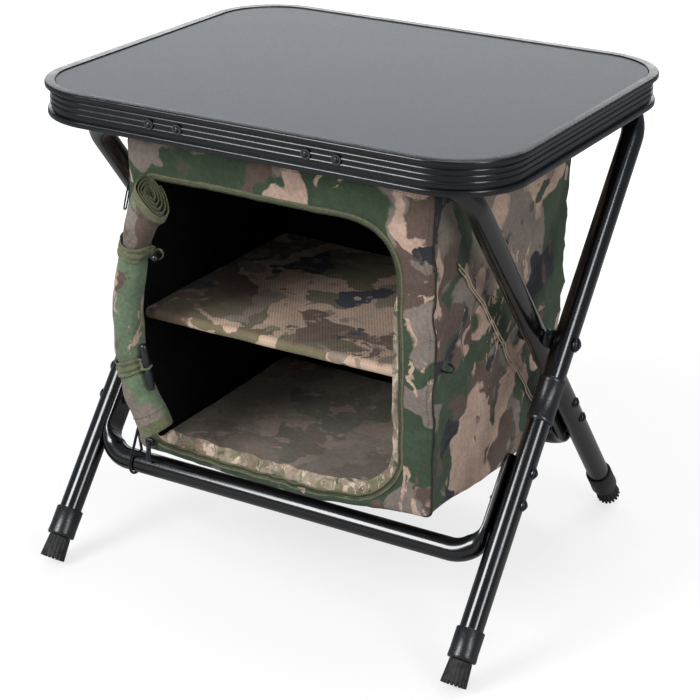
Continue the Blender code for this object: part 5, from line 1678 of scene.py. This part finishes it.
def pocket_point(along, up, out=0.0):
    """A point on the side pocket: along from the front, up its panel, and out from its own surface."""
    front_y, back_y, bottom = -0.118, BAG_BACK - 0.048, BAG_LOW + 0.019
    y = front_y + (back_y - front_y) * along
    top = BAG_LOW + 0.245 + (0.032 - 0.245) * along
    edge = smooth_step(min(along, 1 - along) / 0.06) * smooth_step(up / 0.10)
    gape = 0.0026 * smooth_step((up - 0.7) / 0.3) * smooth_step(min(along, 1 - along) / 0.2)
    swell = -0.0003 + 0.0019 * edge + gape * edge
    return settle(Vector((BAG_HALF + swell + out, y, bottom + (top - bottom) * up)))


def make_side_pocket():
    """A flat pocket with a slanting mouth, hemmed with two rows of tan stitches."""
    rows = [[pocket_point(i / 44, j / 36) for i in range(45)] for j in range(37)]
    sew_cloth(outward_sheet("side_pocket_panel", skin(rows), CLOTH), 0.0009, ["side_pocket"])

    def mouth(inset, out):
        return [pocket_point(a, 1 - inset / (0.226 - 0.213 * a), out) for a in np.linspace(0.005, 0.98, 80)]

    section = ((0.0066, 0.0002), (0.0058, 0.0014), (0.0030, 0.0020), (0.0004, 0.0015), (-0.0008, 0.0))
    welt = outward_sheet("pocket_mouth_welt", skin([mouth(inset, out) for inset, out in section]), CLOTH)
    sew_in(solid(thickened(welt, 0.0008)), ())
    lines = [mouth(0.0010, 0.0018), mouth(0.0052, 0.0018)]
    seams = along_lines("pocket_mouth_stitches", lines, TAN_THREAD, 0.0026, 0.0029, 0.0012, 0.04)
    sew_in(seams, ())


# Stage


def pale_floor():
    """Studio floor: a matt white that takes the shadow, with the rest of its paleness its own"""
    made = bpy.data.materials.new("studio_floor_matt_white")
    made.use_nodes = True
    tree = made.node_tree
    tree.nodes.clear()
    matt = add(tree, "ShaderNodeBsdfDiffuse", {"Color": (*tint("#8f8f8f"), 1)})
    path = add(tree, "ShaderNodeLightPath")
    away = add(tree, "ShaderNodeVectorMath", {0: object_place(tree)}, operation="LENGTH").outputs["Value"]
    far = ramp(tree, away, 0.5, 1.3, 0.66, 0.96, interpolation_type="SMOOTHSTEP")
    strength = maths(tree, "MULTIPLY_ADD", path.outputs["Is Camera Ray"], far, 0.04)
    glow = add(tree, "ShaderNodeEmission", {"Color": (1, 1, 1, 1), "Strength": strength})
    both = add(tree, "ShaderNodeAddShader", {0: matt.outputs[0], 1: glow.outputs[0]})
    add(tree, "ShaderNodeOutputMaterial", {"Surface": both.outputs[0]})
    return made


def area_light(name, place, target, width, height, power):
    lamp = bpy.data.lights.new(name, "AREA")
    lamp.shape = "RECTANGLE"
    lamp.size, lamp.size_y, lamp.energy = width, height, power
    made = bpy.data.objects.new(name, lamp)
    made.location = place
    made.rotation_euler = (Vector(target) - Vector(place)).to_track_quat("-Z", "Y").to_euler()
    bpy.context.scene.collection.objects.link(made)


def make_stage():
    """A wide floor, a pale sky and four softboxes."""
    mesh = bpy.data.meshes.new("studio_floor")
    mesh.from_pydata([(-30, -30, 0), (30, -30, 0), (30, 30, 0), (-30, 30, 0)], [], [(0, 1, 2, 3)])
    mesh.materials.append(pale_floor())
    floor = bpy.data.objects.new("studio_floor", mesh)
    bpy.context.scene.collection.objects.link(floor)
    world = bpy.data.worlds.new("studio_world")
    bpy.context.scene.world = world
    world.use_nodes = True
    tree = world.node_tree
    tree.nodes.clear()
    path = add(tree, "ShaderNodeLightPath")
    # White to the camera, dim in a gloss, so that dark tubes mirror the softboxes and little else
    soft = maths(tree, "MULTIPLY_ADD", path.outputs["Is Diffuse Ray"], 0.36, 0.24)
    strength = maths(tree, "MAXIMUM", soft, path.outputs["Is Camera Ray"])
    cool = mixed(tree, path.outputs["Is Glossy Ray"], (1, 1, 1, 1), (0.74, 0.87, 1, 1))
    sky = add(tree, "ShaderNodeBackground", {"Color": cool, "Strength": strength})
    add(tree, "ShaderNodeOutputWorld", {"Surface": sky.outputs[0]})
    area_light("overhead_softbox", (0.1, 0.4, 2.3), BAG_MIDDLE, 1.1, 0.9, 16)
    area_light("backdrop_softbox", (-1.5, 2.5, 1.1), (0, 0, 0.5), 3.0, 0.55, 13)
    area_light("front_left_softbox", (-0.75, -1.75, 1.35), (0, 0, 0.25), 0.8, 1.0, 34)
    area_light("front_right_softbox", (2.0, -0.9, 1.3), BAG_MIDDLE, 0.5, 1.5, 19)


def make_camera():
    """The photograph's view: a long lens 1.93 m away, 23 degrees up and 29 degrees to the right."""
    turn, rise, roll = math.radians(29.48), math.radians(22.921), math.radians(0.99)
    back = Vector((math.sin(turn) * math.cos(rise), -math.cos(turn) * math.cos(rise), math.sin(rise)))
    level = Vector((math.cos(turn), math.sin(turn), 0))
    over = back.cross(level)
    right = level * math.cos(roll) + over * math.sin(roll)
    up = over * math.cos(roll) - level * math.sin(roll)
    place = Vector((0, -0.009, 0.25)) + back * 1.9282 + right * -0.0024 + up * -0.0387
    lens = bpy.data.cameras.new("camera")
    lens.sensor_width = 36
    lens.lens = 1991.28 * 36 / 700  # 1991.28 pixels on a picture 700 pixels wide
    lens.clip_start = 0.05
    camera = bpy.data.objects.new("camera", lens)
    bpy.context.scene.collection.objects.link(camera)
    camera.matrix_world = Matrix([
        (right.x, up.x, back.x, place.x), (right.y, up.y, back.y, place.y),
        (right.z, up.z, back.z, place.z), (0, 0, 0, 1),
    ])
    bpy.context.scene.camera = camera
    bpy.context.scene.view_settings.view_transform = "Standard"


# Operators


class Builder:
    """What the operators share: each runs its steps in order"""

    def execute(self, context):
        for step in self.steps:
            step()
        return {"FINISHED"}


class TABLE_OT_tabletop(Builder, bpy.types.Operator):
    """Builds the tabletop with its edging, clips, hinges and rivets"""

    bl_idname = "table.tabletop"
    bl_label = "Tabletop"
    steps = (make_tabletop,)


class TABLE_OT_leg_frames(Builder, bpy.types.Operator):
    """Builds the two crossing tube frames with their crossbars"""

    bl_idname = "table.leg_frames"
    bl_label = "Leg frames"
    steps = (make_leg_frames,)


class TABLE_OT_bolts(Builder, bpy.types.Operator):
    """Builds the heads and nuts of the frame's bolts"""

    bl_idname = "table.bolts"
    bl_label = "Bolts"
    steps = (make_bolts,)


class TABLE_OT_mouldings(Builder, bpy.types.Operator):
    """Builds the sleeves, washers and ferrules on the legs"""

    bl_idname = "table.mouldings"
    bl_label = "Sleeves and ferrules"
    steps = (make_mouldings,)


class TABLE_OT_feet(Builder, bpy.types.Operator):
    """Builds the four ribbed rubber feet"""

    bl_idname = "table.feet"
    bl_label = "Feet"
    steps = (make_feet,)


class TABLE_OT_bag_shell(Builder, bpy.types.Operator):
    """Builds the bag's soft shell and its front panel"""

    bl_idname = "table.bag_shell"
    bl_label = "Bag shell"
    steps = (make_bag_shell, make_front_panel)


class TABLE_OT_opening(Builder, bpy.types.Operator):
    """Builds the zip, binding, facing and seam round the bag's opening"""

    bl_idname = "table.opening"
    bl_label = "Opening"
    steps = (make_zip, make_hem, make_piping)


class TABLE_OT_decks(Builder, bpy.types.Operator):
    """Builds the padded shelf and the base board"""

    bl_idname = "table.decks"
    bl_label = "Decks"
    steps = (make_shelf, make_base_board)


class TABLE_OT_rolled_door(Builder, bpy.types.Operator):
    """Builds the rolled door with its ties, pegs and zip pull"""

    bl_idname = "table.rolled_door"
    bl_label = "Rolled door"
    steps = (make_roll, make_door_flap, make_ties, make_zip_pull)


class TABLE_OT_straps(Builder, bpy.types.Operator):
    """Builds the rail loops, the elastic and the side loop"""

    bl_idname = "table.straps"
    bl_label = "Straps and cords"
    steps = (make_rail_straps, make_cords)


class TABLE_OT_side_pocket(Builder, bpy.types.Operator):
    """Builds the side pocket and its stitched mouth"""

    bl_idname = "table.side_pocket"
    bl_label = "Side pocket"
    steps = (make_side_pocket,)


class TABLE_OT_stage(Builder, bpy.types.Operator):
    """Sets up the floor, the soft lights and the camera"""

    bl_idname = "table.stage"
    bl_label = "Stage"
    steps = (make_stage, make_camera)


OPERATORS = (
    TABLE_OT_stage, TABLE_OT_tabletop, TABLE_OT_leg_frames, TABLE_OT_bolts, TABLE_OT_mouldings, TABLE_OT_feet,
    TABLE_OT_bag_shell, TABLE_OT_opening, TABLE_OT_decks, TABLE_OT_rolled_door, TABLE_OT_straps,
    TABLE_OT_side_pocket,
)


class TABLE_PT_panel(bpy.types.Panel):
    """Lists the table's pieces, sizes and colours"""

    bl_label = "Folding table"
    bl_idname = "TABLE_PT_panel"
    bl_space_type = "VIEW_3D"
    bl_region_type = "UI"
    bl_category = "Table"

    def draw(self, context):
        column = self.layout.column()
        for operator in OPERATORS:
            column.operator(operator.bl_idname)
        for group in (context.scene.table_sizes, context.scene.table_colours):
            for name in group.bl_rna.properties.keys():
                if name not in ("rna_type", "name"):
                    column.prop(group, name)


CLASSES = (TableColours, TableSizes, *OPERATORS, TABLE_PT_panel)


def register():
    for each in CLASSES:
        bpy.utils.register_class(each)
    bpy.types.Scene.table_colours = bpy.props.PointerProperty(type=TableColours)
    bpy.types.Scene.table_sizes = bpy.props.PointerProperty(type=TableSizes)


def unregister():
    del bpy.types.Scene.table_sizes, bpy.types.Scene.table_colours
    for each in reversed(CLASSES):
        bpy.utils.unregister_class(each)


def corners(box):
    return [[float(value) for value in corner] for corner in box]


def main():
    register()
    for operator in OPERATORS:
        getattr(bpy.ops.table, operator.bl_idname.split(".")[1])()


if __name__ == "__main__":
    main()
